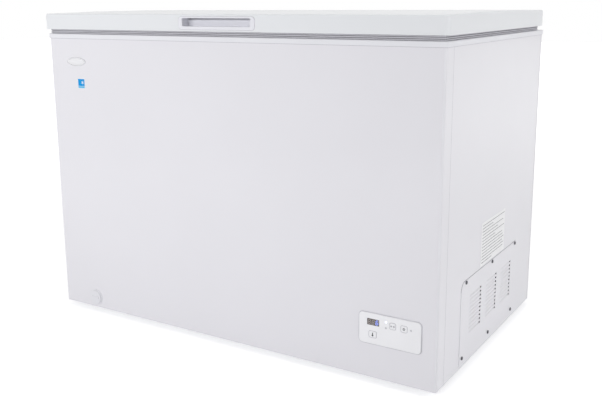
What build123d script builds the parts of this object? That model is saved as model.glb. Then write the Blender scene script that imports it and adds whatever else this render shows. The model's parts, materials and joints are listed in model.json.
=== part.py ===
from build123d import *
import math
import os

# Chest freezer with a lift-up lid. Millimetres; X to the right seen from the front, Y to the back, Z up.
# The origin is on the floor, under the middle of the whole outline.

# Clearances
FIT = 0.3  # between pieces that move past each other or have curved faces
PIN_FIT = 0.05  # hinge pin in its eyes, on the radius
TUBE_FIT = 0.4  # tube in its tunnel through the foam
CUT = 1.0  # how far a cutting shape runs past the face that it cuts

# Cabinet
CABINET_WIDTH = 1163.0
CABINET_DEPTH = 705.0
CABINET_HEIGHT = 765.0  # wall that shows, from its lower edge to the rim
BASE_GAP = 16.0  # floor to the lower edge of the wall
SHEET = 0.8  # steel sheet of cabinet, lid and covers
WRAP_CORNER = 6.0
WRAP_FLANGE = 14.0  # edges turned in at the bottom and the back
WALL = 65.0  # outer face to tub face
FLOOR_WALL = 62.0  # lower edge of the wall to the tub's floor
LINER = 0.8
LINER_FLANGE = 22.0
TUB_CORNER = 25.0  # upright corners and floor edges at front and back
TUB_BEND = 30.0  # floor and step bends seen from the front

# Rim on top of the wall
RIM_HEIGHT = 12.0
RIM_OVERHANG = 2.7
RIM_PLATE = 3.0
RIM_ROUND = 2.6
RIM_LIP = 1.5
RIM_LIP_DEPTH = 20.0

# Machine bay at the lower right
BAY_WIDTH = 251.0
BAY_HEIGHT = 224.0  # lower edge of the wall to the bay's ceiling
TRAY = 1.5

# Lid
LID_OVERHANG = 7.0
LID_REAR_INSET = 24.0
LID_SKIRT = 41.5
LID_CROWN = 3.5
LID_CORNER = 11.0
LID_EDGE = 4.5
LID_FLANGE = 9.0
LID_LINER = 2.0
LID_PLUG = 10.0  # how far the lid's inner panel stands down
LID_PLUG_INSET = 36.0  # tub face to the side of that panel
LID_PLUG_CORNER = 20.0
GASKET_HEIGHT = 12.0
GASKET_WIDTH = 15.8
GASKET_INSET = 11.0
GASKET_RIBS = 3
GASKET_RIB_FLAT = 1.6
GASKET_GROOVE = 2.4

# Pull in the lid's front edge
HANDLE_WIDTH = 227.0
HANDLE_HEIGHT = 31.0
HANDLE_CORNER = 9.0
HANDLE_RISE = 20.0  # bezel's middle above the lid's lower edge
HANDLE_PROUD = 1.5
HANDLE_ROUND = 1.2
POCKET_WIDTH = 204.0
POCKET_HEIGHT = 20.0
POCKET_CORNER = 4.0
POCKET_DEPTH = 24.0
POCKET_WALL = 1.6
POCKET_RAISE = 2.0  # pocket's middle above the bezel's middle
GROOVE_HEIGHT = 5.0  # groove for the fingertips at the pocket's upper back
GROOVE_DEPTH = 9.0

# Hinges
HINGE_FROM_SIDE = 201.5  # hinge's middle from the cabinet's side
HINGE_WIDTH = 70.0
HINGE_PLATE = 2.5
HINGE_BASE_HEIGHT = 92.0
HINGE_BASE_DROP = 3.0  # base plate below the rim
HINGE_EYE = 9.5
PIVOT_BEHIND = 13.5  # pin's axis behind the cabinet
PIVOT_RISE = 7.3  # pin's axis above the rim
HINGE_GAP = 0.5  # between the cheeks of base and leaf
LEAF_INNER = 26.0  # between the leaf's cheeks
LEAF_MARGIN = 2.5  # leaf plate below and above the flat of the lid's edge
PIN_RADIUS = 4.0
PIN_HEAD = 6.0
PIN_HEAD_HEIGHT = 2.5
BRIDGE_HEIGHT = 26.0
BRIDGE_DROP = 26.0  # bridge's upper edge below the pin's axis
TAB_REACH = 13.0
SPRING_RADIUS = 8.0
SPRING_WIRE = 1.2
SPRING_PITCH = 3.2
SPRING_TURNS = 5
SPRING_LEG_DOWN = 44.0
SPRING_LEG_OUT = 28.0

# Screws
SCREW_HEAD = 4.5
SCREW_HEAD_HEIGHT = 2.4
SCREW_SHANK = 2.0
SCREW_LENGTH = 10.0
SCREW_SLOT = 0.9
SCREW_SLOT_DEPTH = 1.1
SCREW_HOLE = 2.2
HINGE_SCREW_X = 26.0  # from the hinge's middle
HINGE_SCREW_EDGE = 14.0  # from the base plate's ends
LEAF_SCREW_EDGE = 8.0

# Control panel at the lower right of the front
PANEL_FROM_RIGHT = 115.0
PANEL_Z = 138.1
PANEL_WIDTH = 158.0
PANEL_HEIGHT = 77.8
PANEL_CORNER = 11.0
SEAL_WIDTH = 1.6
SEAL_PROUD = 1.2
FASCIA_GAP = 0.2
FASCIA = 2.6
FASCIA_ROUND = 0.8
HOUSING_WIDTH = 142.0
HOUSING_HEIGHT = 62.0
HOUSING_DEPTH = 30.0
HOUSING_WALL = 2.0
HOUSING_CORNER = 8.0
POST_RADIUS = 3.0
POST_INSET = 9.0
BOARD = 1.6
BOARD_DEPTH = 14.0  # fascia's back to the board's front
DISPLAY_WIDTH = 30.4
DISPLAY_HEIGHT = 15.4
DISPLAY_AT = (-41.3, 16.2)  # from the panel's middle
DISPLAY_CORNER = 1.2
DISPLAY_SINK = 0.3
MODULE_MARGIN = 1.0
BUTTON_CORNER = 3.0
BUTTON_PROUD = 0.7
BUTTON_GAP = 0.35
BUTTON_FLANGE = 1.2
BUTTON_LAP = 1.6
BUTTON_TRAVEL = 1.0
BUTTON_STEM = 2.5
BUTTON_ROUND = 0.6
SWITCH_SIZE = 6.0
SWITCH_HEIGHT = 3.6
LENS_RADIUS = 2.3
LENS_LENGTH = 4.0
LENS_PLACES = [(-8.8, 23.1), (-8.8, 8.4), (53.0, 15.4)]
# Middle from the panel's middle, then width and height
BUTTONS = {
    "button_mode": ((8.0, 16.1), (13.8, 14.2)),
    "button_power": ((36.0, 15.3), (14.8, 14.2)),
    "button_temperature": ((-42.0, -13.6), (18.6, 14.6)),
}

# Oval plate at the upper left of the front
BADGE_FROM_LEFT = 98.5
BADGE_BELOW_RIM = 62.5  # badge's middle below the rim's lower edge
BADGE_WIDTH = 68.0
BADGE_HEIGHT = 24.0
BADGE_THICKNESS = 1.6
BADGE_ROUND = 0.7

# Drain
DRAIN_FROM_LEFT = 119.5
DRAIN_Z = 46.0
DRAIN_FLANGE = 23.0
DRAIN_FLANGE_THICKNESS = 1.5
DRAIN_BARREL = 15.0
DRAIN_BORE = 11.0
DRAIN_BARREL_LENGTH = 24.0
CAP_RADIUS = 19.5
CAP_THICKNESS = 2.4
CAP_ROUND = 1.2
CAP_PLUG_LENGTH = 16.0
CAP_PLUG_WALL = 1.8
CAP_GRIP_WIDTH = 26.0
CAP_GRIP_HEIGHT = 6.0
CAP_GRIP_PROUD = 1.6
DRAIN_TUBE = 13.5
DRAIN_BEND = 18.0
DRAIN_FROM_TUB = 48.0  # tub's front face to the inner drain
PLUG_HEAD = 17.0
PLUG_HEAD_HEIGHT = 4.0
PLUG_KNOB = 5.0
PLUG_KNOB_HEIGHT = 9.0

# Vent cover on the right side
VENT_SHIFT = 2.0  # cover's middle behind the cabinet's middle
VENT_WIDTH = 432.0
VENT_BOTTOM = 24.0
VENT_TOP = 231.0
VENT_CORNER = 22.0
VENT_LAP = 26.0
VENT_LAP_BOTTOM = 36.0
VENT_SCREW_Y = 186.0
VENT_SCREW_TOP = 4.8  # below the cover's upper edge
VENT_SCREW_BOTTOM = 16.0  # above the cover's lower edge
VENT_SCREW_STAGGER = 13.0  # lower row in front of the upper row
LOUVRE_COLUMNS = 3
LOUVRE_ROWS = 10
LOUVRE_SPACING = 116.0
LOUVRE_PITCH = 10.25
LOUVRE_LENGTH = 79.0
LOUVRE_HEIGHT = 5.0
LOUVRE_DEPTH = 2.6
LOUVRE_SLIT = 0.6  # blade's front end to its slot
LOUVRE_END = 6.0  # blade's rear end to its slot
LOUVRE_Z = 137.0

# Compressor and its tubes
COMPRESSOR_RADIUS = 78.0
COMPRESSOR_WALL = 3.0
COMPRESSOR_LOWER = 78.0
COMPRESSOR_UPPER = 88.0
COMPRESSOR_LOWER_ROUND = 22.0
COMPRESSOR_UPPER_ROUND = 34.0
COMPRESSOR_SEAM = 5.0
SEAM_HEIGHT = 4.0
MOTOR_RADIUS = 60.0
MOTOR_HEIGHT = 105.0
MOTOR_BORE = 30.0
MOTOR_BORE_DEPTH = 26.0
BRACKET = 3.0
BRACKET_X = 176.0
BRACKET_Y = 132.0
BOLT_INSET = 16.0
BOLT_RADIUS = 4.0
BOLT_HEAD = 6.5
BOLT_HEAD_HEIGHT = 5.0
GROMMET_RADIUS = 12.0
GROMMET_HEIGHT = 16.0
STUB_OFFSET = 30.0
STUB_RADIUS = 5.0
STUB_REACH = 95.0
STUB_Z = 22.0  # discharge stub above the straight part's foot
STUB_STEP = 22.0  # suction stub above the discharge stub
RELAY_WIDTH = 46.0
RELAY_DEPTH = 30.0
RELAY_HEIGHT = 54.0
RELAY_CORNER = 4.0
DRIER_RADIUS = 9.5
DRIER_LENGTH = 96.0
DRIER_NECK = 12.0
DRIER_DROP = 60.0  # upper end below the ends of the coils
CAPILLARY = 1.2
CAPILLARY_LOW = 24.0  # capillary's run above the tray
CONDENSER_TUBE = 2.4
CONDENSER_INSET = 10.0  # tube's middle inside the cabinet wall
EVAPORATOR_TUBE = 4.0
EVAPORATOR_OFFSET = 5.0  # tube's middle outside the liner
COIL_PASSES = 5
COIL_MARGIN = 46.0  # lowest and highest run from the step and the top
COIL_TURN = 60.0
COIL_DROP = 90.0
COIL_BEND = 24.0
COIL_END = 30.0  # ends below the bay's ceiling
TUBE_BEND = 18.0
CAPILLARY_BEND = 8.0

# Cable from the panel to the relay, and the gland for the mains cord
CABLE_RADIUS = 3.0
CABLE_BEND = 22.0
CABLE_RUN = 60.0
GLAND_FROM_RIGHT = 60.0
GLAND_Z = 62.0
GLAND_FLANGE = 11.0
GLAND_FLANGE_THICKNESS = 2.5
GLAND_BARREL = 7.5
GLAND_BORE = 4.0
GLAND_LENGTH = 14.0

# Basket that hangs on the rim inside the tub
BASKET_WIDTH = 258.0
BASKET_HEIGHT = 196.0
BASKET_DROP = 18.0  # basket's upper edge below the rim
BASKET_GAP = 20.0  # to the tub's front and back
BASKET_SIDE_GAP = 12.0
BASKET_WIRE = 3.2
BASKET_CORNER = 24.0
BASKET_FLOOR_ROUND = 6.0
BASKET_CELL = 33.0  # wire spacing
BASKET_BAND = 8.0  # upper band
HOOK_WIDTH = 5.0
HOOK_INSET = 60.0
HOOK_REACH = 6.0  # on the rim, past its inner edge

# Feet
FOOT_RADIUS = 20.0
FOOT_INSET = 75.0
FOOT_CHAMFER = 2.0
FOOT_RECESS = 6.5
FOOT_RECESS_DEPTH = 7.0


def grow(span, amount):
    """A (low, high) span made longer at both ends."""
    return (span[0] - amount, span[1] + amount)


def around(middle, length):
    """The (low, high) span of a length about its middle."""
    return (middle - length / 2, middle + length / 2)


# Spans and levels that follow from the driving dimensions
BRIDGE_FACE = SPRING_RADIUS + SPRING_WIRE + FIT  # bridge's front face behind the pin's axis
HINGE_REACH = PIVOT_BEHIND + BRIDGE_FACE + HINGE_PLATE
OVERALL_DEPTH = HANDLE_PROUD + LID_OVERHANG + CABINET_DEPTH + HINGE_REACH
Y_FRONT = -OVERALL_DEPTH / 2 + HANDLE_PROUD + LID_OVERHANG
Y_BACK = Y_FRONT + CABINET_DEPTH
X_RIGHT = CABINET_WIDTH / 2
CABINET_X = (-X_RIGHT, X_RIGHT)
CABINET_Y = (Y_FRONT, Y_BACK)
TUB_X = grow(CABINET_X, -WALL)
TUB_Y = grow(CABINET_Y, -WALL)
LID_X = grow(CABINET_X, LID_OVERHANG)
LID_Y = (Y_FRONT - LID_OVERHANG, Y_BACK - LID_REAR_INSET)
X_BAY = X_RIGHT - BAY_WIDTH
X_STEP = X_BAY - WALL
Y_PANEL_BACK = Y_BACK - SHEET  # outer face of the back panel
Z_PAN = BASE_GAP + SHEET
Z_TRAY = Z_PAN + TRAY
Z_BAY = BASE_GAP + BAY_HEIGHT
Z_TUB = BASE_GAP + FLOOR_WALL
Z_STEP = Z_BAY + FLOOR_WALL
Z_RIM = BASE_GAP + CABINET_HEIGHT
Z_RIM_TOP = Z_RIM + RIM_HEIGHT
Z_WALL_TOP = Z_RIM_TOP - RIM_PLATE
Z_LID = Z_RIM_TOP + GASKET_HEIGHT
Z_LID_EDGE = Z_LID + LID_SKIRT
Z_LID_TOP = Z_LID_EDGE + LID_CROWN
Z_HANDLE = Z_LID + HANDLE_RISE
Z_POCKET = Z_HANDLE + POCKET_RAISE
Y_PIVOT = Y_BACK + PIVOT_BEHIND
Z_PIVOT = Z_RIM_TOP + PIVOT_RISE
X_PANEL = X_RIGHT - PANEL_FROM_RIGHT
Y_FASCIA = Y_FRONT - FASCIA
Y_BOARD = Y_FRONT + BOARD_DEPTH
X_DRAIN = -X_RIGHT + DRAIN_FROM_LEFT
Y_DRAIN = TUB_Y[0] + DRAIN_FROM_TUB
Y_VENT = (Y_FRONT + Y_BACK) / 2 + VENT_SHIFT
X_COMPRESSOR = X_RIGHT - BAY_WIDTH / 2
Z_BRACKET = Z_TRAY + GROMMET_HEIGHT
Z_COMPRESSOR = Z_BRACKET + BRACKET
Z_SEAM = Z_COMPRESSOR + COMPRESSOR_LOWER
Z_STUB = Z_COMPRESSOR + COMPRESSOR_LOWER_ROUND + STUB_Z
X_CONDENSER = X_RIGHT - CONDENSER_INSET
X_EVAPORATOR = TUB_X[1] + LINER + EVAPORATOR_OFFSET
Z_COIL_END = Z_BAY - COIL_END
CONDENSER_X = grow(CABINET_X, -CONDENSER_INSET)
CONDENSER_Y = grow(CABINET_Y, -CONDENSER_INSET)
EVAPORATOR_X = grow(TUB_X, LINER + EVAPORATOR_OFFSET)
EVAPORATOR_Y = grow(TUB_Y, LINER + EVAPORATOR_OFFSET)
RIM_OPENING = FIT + RIM_LIP  # tub face to the inner edge of the rim
BASKET_X = (TUB_X[1] - BASKET_SIDE_GAP - BASKET_WIDTH, TUB_X[1] - BASKET_SIDE_GAP)
BASKET_Y = grow(TUB_Y, -BASKET_GAP)
Z_BASKET_TOP = Z_RIM_TOP - BASKET_DROP
BASKET_Z = (Z_BASKET_TOP - BASKET_HEIGHT, Z_BASKET_TOP)
UPWARD = (Align.CENTER, Align.CENTER, Align.MIN)
FRONT = (0, -1, 0)
BACK = (0, 1, 0)
RIGHT = (1, 0, 0)
DOWN = (0, 0, -1)


# Shapes used by several pieces

def block(x, y, z):
    """A box between (low, high) spans."""
    middle = [(low + high) / 2 for low, high in (x, y, z)]
    size = [high - low for low, high in (x, y, z)]
    return Pos(*middle) * Box(*size)


def upright(x, y, z, radius):
    """A box between spans, with its four upright edges rounded."""
    body = block(x, y, z)
    return fillet(body.edges().filter_by(Axis.Z), radius)


def front_plate(outline, y):
    """A plate drawn in X and Z, between two depths."""
    return extrude(Plane.XZ.offset(-y[1]) * outline, amount=y[1] - y[0])


def side_plate(outline, x):
    """A plate drawn in Y and Z, between two places along X."""
    return extrude(Plane.YZ.offset(x[0]) * outline, amount=x[1] - x[0])


def rounded_front(width, height, radius, x, z, y):
    """A plate with rounded corners, seen from the front."""
    return front_plate(Pos(x, z) * RectangleRounded(width, height, radius), y)


def rod(start, end, radius):
    """A round rod between two points."""
    way = Vector(*end) - Vector(*start)
    return Plane(origin=start, z_dir=way) * Cylinder(radius, way.length, align=UPWARD)


def hole(place, outward, radius, reach):
    """A round cutter that runs both ways from a place on a face."""
    return Plane(origin=place, z_dir=outward) * Cylinder(radius, 2 * reach)


def swept(path, radius):
    """A round bar along a path."""
    return sweep(Plane(origin=path @ 0, z_dir=path % 0) * Circle(radius), path=path)


def bent(points, radius, bend):
    """A round bar along straight runs joined by arcs."""
    return swept(FilletPolyline(*points, radius=bend), radius)


def group(solids):
    """Separate solids kept in one node."""
    return Compound([one.solid() for one in solids])


def screw(place, outward, length=SCREW_LENGTH):
    """A pan-head screw with a cross recess, its head on a face."""
    head = Cylinder(SCREW_HEAD, SCREW_HEAD_HEIGHT, align=UPWARD)
    head = fillet(head.edges().sort_by(Axis.Z)[-1], SCREW_HEAD_HEIGHT / 2)
    body = head + Pos(0, 0, -length) * Cylinder(SCREW_SHANK, length, align=UPWARD)
    for turn in (0, 90):
        slot = Box(SCREW_HEAD, SCREW_SLOT, 2 * SCREW_SLOT_DEPTH)
        body -= Pos(0, 0, SCREW_HEAD_HEIGHT) * Rot(0, 0, turn) * slot
    return Plane(origin=place, z_dir=outward) * body


def drill(body, places, outward, radius=SCREW_HOLE, reach=SCREW_LENGTH + CUT):
    """Round holes for screws or tubes."""
    return body - [hole(place, outward, radius, reach) for place in places]


def core(z):
    """The block that the cabinet's sheets enclose."""
    y = (Y_FRONT + SHEET, Y_PANEL_BACK - SHEET)
    return upright(grow(CABINET_X, -SHEET), y, z, WRAP_CORNER - SHEET)


# Places of fasteners and tubes

def foot_places(z):
    """Middles of the four feet at one level."""
    reach = grow(CABINET_X, -FOOT_INSET)
    return [(x, y, z) for x in reach for y in grow(CABINET_Y, -FOOT_INSET)]


def hinge_middles():
    """Middles of the two hinges along X."""
    reach = X_RIGHT - HINGE_FROM_SIDE
    return {"left": -reach, "right": reach}


def base_plate_z():
    """Upright span of a hinge's base plate."""
    top = Z_RIM - HINGE_BASE_DROP
    return (top - HINGE_BASE_HEIGHT, top)


def leaf_z():
    """Upright span of a hinge's plate on the lid."""
    return grow((Z_LID, Z_LID_EDGE - LID_EDGE), -LEAF_MARGIN)


def base_screw_places(middle):
    """Screws of one hinge base, on its plate."""
    y = Y_PANEL_BACK + HINGE_PLATE
    across = grow((middle, middle), HINGE_SCREW_X)
    return [(x, y, z) for x in across for z in grow(base_plate_z(), -HINGE_SCREW_EDGE)]


def leaf_screw_places(middle):
    """Screws of one hinge leaf, on its plate."""
    y = LID_Y[1] + HINGE_PLATE
    across = grow((middle, middle), HINGE_SCREW_X)
    return [(x, y, z) for x in across for z in grow(leaf_z(), -LEAF_SCREW_EDGE)]


def all_hinges(places):
    """Screw places of both hinges."""
    return [place for middle in hinge_middles().values() for place in places(middle)]


def vent_screw_places():
    """Screws of the vent cover, on its outer face."""
    rows = {VENT_BOTTOM + VENT_SCREW_BOTTOM: Y_VENT - VENT_SCREW_STAGGER, VENT_TOP - VENT_SCREW_TOP: Y_VENT}
    across = (-VENT_SCREW_Y, 0, VENT_SCREW_Y)
    return [(X_RIGHT + SHEET, middle + y, z) for y in across for z, middle in rows.items()]


def bolt_places(z):
    """Compressor bolts at one level."""
    across = around(X_COMPRESSOR, BRACKET_X - 2 * BOLT_INSET)
    along = around(Y_VENT, BRACKET_Y - 2 * BOLT_INSET)
    return [(x, y, z) for x in across for y in along]


def coil_ends(x, y):
    """Inlet near the back and outlet near the front, on the bay's ceiling."""
    return [(x, y[1] - COIL_DROP, Z_BAY), (x, y[0] + COIL_DROP, Z_BAY)]


# Cabinet

def tub_block(skin, top):
    """The tub's space with its step over the machine bay, grown by a skin."""
    left, right = grow(TUB_X, skin)
    floor, step = Z_TUB - skin, Z_STEP - skin
    riser = X_STEP + skin
    bends = [TUB_BEND + skin, TUB_BEND + skin, TUB_BEND - skin, TUB_BEND + skin]
    corners = [(left, top), (left, floor), (riser, floor), (riser, step), (right, step), (right, top)]
    line = FilletPolyline(*corners, radius=bends)
    outline = make_face([line, Line((right, top), (left, top))])
    body = front_plate(outline, grow(TUB_Y, skin))
    ends = body.faces().filter_by(Axis.Y)
    edges = [edge for face in ends for edge in face.edges() if edge.center().Z < top - CUT / 2]
    return fillet(edges, TUB_CORNER + skin)


def cabinet_wrap():
    """Painted steel front and sides, bent from one sheet, with flanges below and behind."""
    body = upright(CABINET_X, CABINET_Y, (BASE_GAP, Z_WALL_TOP), WRAP_CORNER)
    inside = (grow(CABINET_X, -SHEET), grow(CABINET_Y, -SHEET), (Z_PAN, Z_WALL_TOP + CUT))
    body -= upright(*inside, WRAP_CORNER - SHEET)
    window = grow(CABINET_X, -WRAP_FLANGE)
    body -= block(window, grow(CABINET_Y, -WRAP_FLANGE), grow((BASE_GAP, Z_PAN), CUT))
    body -= block(window, grow((Y_PANEL_BACK, Y_BACK), CUT), (BASE_GAP + WRAP_FLANGE, Z_WALL_TOP + CUT))
    vent_y = around(Y_VENT, VENT_WIDTH - 2 * VENT_LAP)
    vent_z = (VENT_BOTTOM + VENT_LAP_BOTTOM, VENT_TOP - VENT_LAP)
    body -= block(grow((X_RIGHT - SHEET, X_RIGHT), CUT), vent_y, vent_z)
    body -= housing_block(FIT, grow((Y_FRONT, Y_FRONT + SHEET), CUT))
    body -= hole((X_DRAIN, Y_FRONT, DRAIN_Z), FRONT, DRAIN_BARREL + FIT, SHEET + CUT)
    return drill(body, vent_screw_places(), RIGHT)


def back_panel():
    """Steel sheet behind, held by the wrap's flanges."""
    panel_x = grow(CABINET_X, -WRAP_CORNER)
    body = block(panel_x, (Y_PANEL_BACK - SHEET, Y_PANEL_BACK), (Z_PAN, Z_WALL_TOP))
    gland = (X_RIGHT - GLAND_FROM_RIGHT, Y_PANEL_BACK, GLAND_Z)
    body -= hole(gland, BACK, GLAND_BARREL + FIT, SHEET + CUT)
    return drill(body, all_hinges(base_screw_places), BACK)


def base_pan():
    """Steel sheet under the foam."""
    body = core((Z_PAN, Z_PAN + SHEET))
    body -= block((X_BAY, X_RIGHT), CABINET_Y, grow((Z_PAN, Z_PAN + SHEET), CUT))
    return drill(body, foot_places(Z_PAN), DOWN)


def bay_partition():
    """Sheet that walls off the machine bay at its left and above."""
    body = core((Z_PAN, Z_BAY + SHEET))
    body -= block((-X_RIGHT, X_BAY), CABINET_Y, (0, Z_RIM))
    body -= block((X_BAY + SHEET, X_RIGHT), CABINET_Y, (0, Z_BAY))
    ceiling = SHEET + CUT
    body = drill(body, coil_ends(X_CONDENSER, CONDENSER_Y), DOWN, CONDENSER_TUBE + TUBE_FIT, ceiling)
    return drill(body, coil_ends(X_EVAPORATOR, EVAPORATOR_Y), DOWN, EVAPORATOR_TUBE + TUBE_FIT, ceiling)


def compressor_tray():
    """Steel floor of the machine bay."""
    body = core((Z_PAN, Z_TRAY))
    body -= block((-X_RIGHT, X_BAY + SHEET), CABINET_Y, grow((Z_PAN, Z_TRAY), CUT))
    body = drill(body, foot_places(Z_PAN), DOWN)
    return drill(body, bolt_places(Z_TRAY), DOWN, BOLT_RADIUS + FIT)


def foam_insulation():
    """Foam between the sheets and the tub, with tunnels for the coils, the drain and screws."""
    body = core((Z_PAN + SHEET, Z_WALL_TOP - LINER))
    body -= tub_block(LINER, Z_WALL_TOP)
    body -= block((X_BAY, X_RIGHT), CABINET_Y, (0, Z_BAY + SHEET))
    body -= condenser_coil(TUBE_FIT)
    body -= evaporator_coil(TUBE_FIT)
    body -= drain_bar(DRAIN_TUBE + TUBE_FIT)
    barrel = DRAIN_BARREL_LENGTH + TUBE_FIT
    body -= hole((X_DRAIN, Y_FRONT, DRAIN_Z), FRONT, DRAIN_BARREL + FIT, barrel)
    body = drill(body, all_hinges(base_screw_places), BACK)
    return drill(body, foot_places(Z_PAN), DOWN)


def inner_liner():
    """Sheet-metal tub with a flange that lies on the foam."""
    flange_x, flange_y = grow(TUB_X, LINER_FLANGE), grow(TUB_Y, LINER_FLANGE)
    flange = upright(flange_x, flange_y, (Z_WALL_TOP - LINER, Z_WALL_TOP), TUB_CORNER + LINER_FLANGE)
    body = tub_block(LINER, Z_WALL_TOP) + flange - tub_block(0, Z_WALL_TOP + CUT)
    return body - hole((X_DRAIN, Y_DRAIN, Z_TUB), DOWN, DRAIN_BORE, LINER + CUT)


def top_rim():
    """Moulded rim over the tops of wall, foam and tub."""
    over = RIM_OVERHANG
    body = upright(grow(CABINET_X, over), grow(CABINET_Y, over), (Z_RIM, Z_RIM_TOP), WRAP_CORNER + over)
    body = fillet(body.faces().sort_by(Axis.Z)[-1].edges(), RIM_ROUND)
    wall = WRAP_CORNER + FIT
    body -= upright(grow(CABINET_X, FIT), grow(CABINET_Y, FIT), (Z_RIM - CUT, Z_WALL_TOP), wall)
    lip_z = (Z_RIM_TOP - RIM_LIP_DEPTH, Z_WALL_TOP)
    body += upright(grow(TUB_X, -FIT), grow(TUB_Y, -FIT), lip_z, TUB_CORNER - FIT)
    open_z = (Z_RIM_TOP - RIM_LIP_DEPTH - CUT, Z_RIM_TOP + CUT)
    inner_x, inner_y = grow(TUB_X, -RIM_OPENING), grow(TUB_Y, -RIM_OPENING)
    return body - upright(inner_x, inner_y, open_z, TUB_CORNER - RIM_OPENING)


def foot():
    """One glide foot, standing at the origin, with a recess for its screw."""
    body = Cylinder(FOOT_RADIUS, Z_PAN, align=UPWARD)
    body = chamfer(body.edges().sort_by(Axis.Z)[0], FOOT_CHAMFER)
    body -= Cylinder(FOOT_RECESS, FOOT_RECESS_DEPTH, align=UPWARD)
    return body - Cylinder(SCREW_HOLE, Z_PAN, align=UPWARD)


def cord_gland():
    """Flanged bush in the back panel for a mains cord."""
    x = X_RIGHT - GLAND_FROM_RIGHT
    flange_y = Y_PANEL_BACK + GLAND_FLANGE_THICKNESS
    body = rod((x, Y_PANEL_BACK, GLAND_Z), (x, flange_y, GLAND_Z), GLAND_FLANGE)
    body += rod((x, flange_y - GLAND_LENGTH, GLAND_Z), (x, Y_PANEL_BACK, GLAND_Z), GLAND_BARREL)
    return body - hole((x, Y_PANEL_BACK, GLAND_Z), BACK, GLAND_BORE, GLAND_LENGTH)


# Lid

def lid_block(inset, bottom):
    """The lid's outer form, drawn in by an inset: upright sides, a crowned top, rounded edges."""
    front, back = grow(LID_Y, -inset)
    edge, top = Z_LID_EDGE - inset, Z_LID_TOP - inset
    crown = ThreePointArc((back, edge), ((front + back) / 2, top), (front, edge))
    sides = Polyline((front, edge), (front, bottom), (back, bottom), (back, edge))
    body = side_plate(make_face([crown, sides]), grow(LID_X, -inset))
    body = fillet(body.edges().filter_by(Axis.Z), LID_CORNER - inset)
    return fillet(body.faces().sort_by(Axis.Z)[-1].edges(), LID_EDGE - inset)


def pocket_space(extra, front):
    """The pull's pocket and the groove at its upper back, made larger all round."""
    width = POCKET_WIDTH + 2 * extra
    height = POCKET_HEIGHT + 2 * extra
    back = LID_Y[0] + POCKET_DEPTH + extra
    groove_back = back + GROOVE_DEPTH
    groove_bottom = Z_POCKET + POCKET_HEIGHT / 2 - GROOVE_HEIGHT - extra
    space = rounded_front(width, height, POCKET_CORNER + extra, 0, Z_POCKET, (front, groove_back))
    return space - block(around(0, 2 * width), (back, groove_back + CUT), (Z_POCKET - height, groove_bottom))


def plug_block(inset, z):
    """The raised panel on the lid's inner face, drawn in by an inset."""
    inside = LID_PLUG_INSET + inset
    return upright(grow(TUB_X, -inside), grow(TUB_Y, -inside), z, LID_PLUG_CORNER - inset)


def lid_skin():
    """Painted steel top of the lid, with its lower edge turned in."""
    body = lid_block(0, Z_LID) - lid_block(SHEET, Z_LID + SHEET)
    body -= block(grow(LID_X, -LID_FLANGE), grow(LID_Y, -LID_FLANGE), grow((Z_LID, Z_LID + SHEET), CUT))
    body -= pocket_space(POCKET_WALL + FIT, LID_Y[0] - CUT)
    return drill(body, all_hinges(leaf_screw_places), BACK)


def lid_foam():
    """Foam that fills the lid behind the skin, down into the inner panel."""
    body = lid_block(SHEET, Z_LID + LID_LINER)
    body += plug_block(LID_LINER, (Z_LID - LID_PLUG + LID_LINER, Z_LID + LID_LINER))
    body -= pocket_space(POCKET_WALL + FIT, LID_Y[0] - CUT)
    return drill(body, all_hinges(leaf_screw_places), BACK)


def lid_liner():
    """Moulded inner face of the lid, standing down into the tub's mouth."""
    inside = LID_FLANGE + FIT
    body = block(grow(LID_X, -inside), grow(LID_Y, -inside), (Z_LID, Z_LID + LID_LINER))
    body += plug_block(0, (Z_LID - LID_PLUG, Z_LID + LID_LINER))
    return body - plug_block(LID_LINER, (Z_LID - LID_PLUG + LID_LINER, Z_LID + LID_LINER + CUT))


def lid_gasket():
    """Ribbed seal with mitred corners, under the lid's edge."""
    pitch = GASKET_HEIGHT / GASKET_RIBS
    slope = (pitch - GASKET_RIB_FLAT) / 2
    profile = []
    for rib in range(GASKET_RIBS):
        foot_z = Z_RIM_TOP + rib * pitch
        profile.append((GASKET_GROOVE, foot_z))
        profile.append((0, foot_z + slope))
        profile.append((0, foot_z + slope + GASKET_RIB_FLAT))
    profile += [(GASKET_GROOVE, Z_LID), (GASKET_WIDTH, Z_LID), (GASKET_WIDTH, Z_RIM_TOP)]
    (left, right), (front, back) = grow(LID_X, -GASKET_INSET), grow(LID_Y, -GASKET_INSET)
    path = Polyline((0, front), (right, front), (right, back), (left, back), (left, front), (0, front))
    section = make_face(Polyline(*[(front + depth, z) for depth, z in profile], close=True))
    return sweep(Plane.YZ * section, path=path, transition=Transition.RIGHT)


def handle_pull():
    """Moulded pull let into the lid's front edge: a bezel and a finger pocket."""
    face = LID_Y[0]
    bezel_y = (face - HANDLE_PROUD, face)
    bezel = rounded_front(HANDLE_WIDTH, HANDLE_HEIGHT, HANDLE_CORNER, 0, Z_HANDLE, bezel_y)
    bezel = fillet(bezel.faces().sort_by(Axis.Y)[0].edges(), HANDLE_ROUND)
    body = bezel + pocket_space(POCKET_WALL, face)
    return body - pocket_space(0, face - HANDLE_PROUD - CUT)


# Hinges

def cheek_pair(outline, middle, inner):
    """Two upright cheeks, an inner distance apart."""
    left = (middle - inner / 2 - HINGE_PLATE, middle - inner / 2)
    right = (middle + inner / 2, middle + inner / 2 + HINGE_PLATE)
    return side_plate(outline, left) + side_plate(outline, right)


def pin_bore(middle):
    """The cutter for a pin's eyes."""
    return hole((middle, Y_PIVOT, Z_PIVOT), RIGHT, PIN_RADIUS + PIN_FIT, HINGE_WIDTH)


def base_inner():
    """Distance between the cheeks of a hinge base."""
    return LEAF_INNER + 2 * (HINGE_PLATE + HINGE_GAP)


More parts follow.
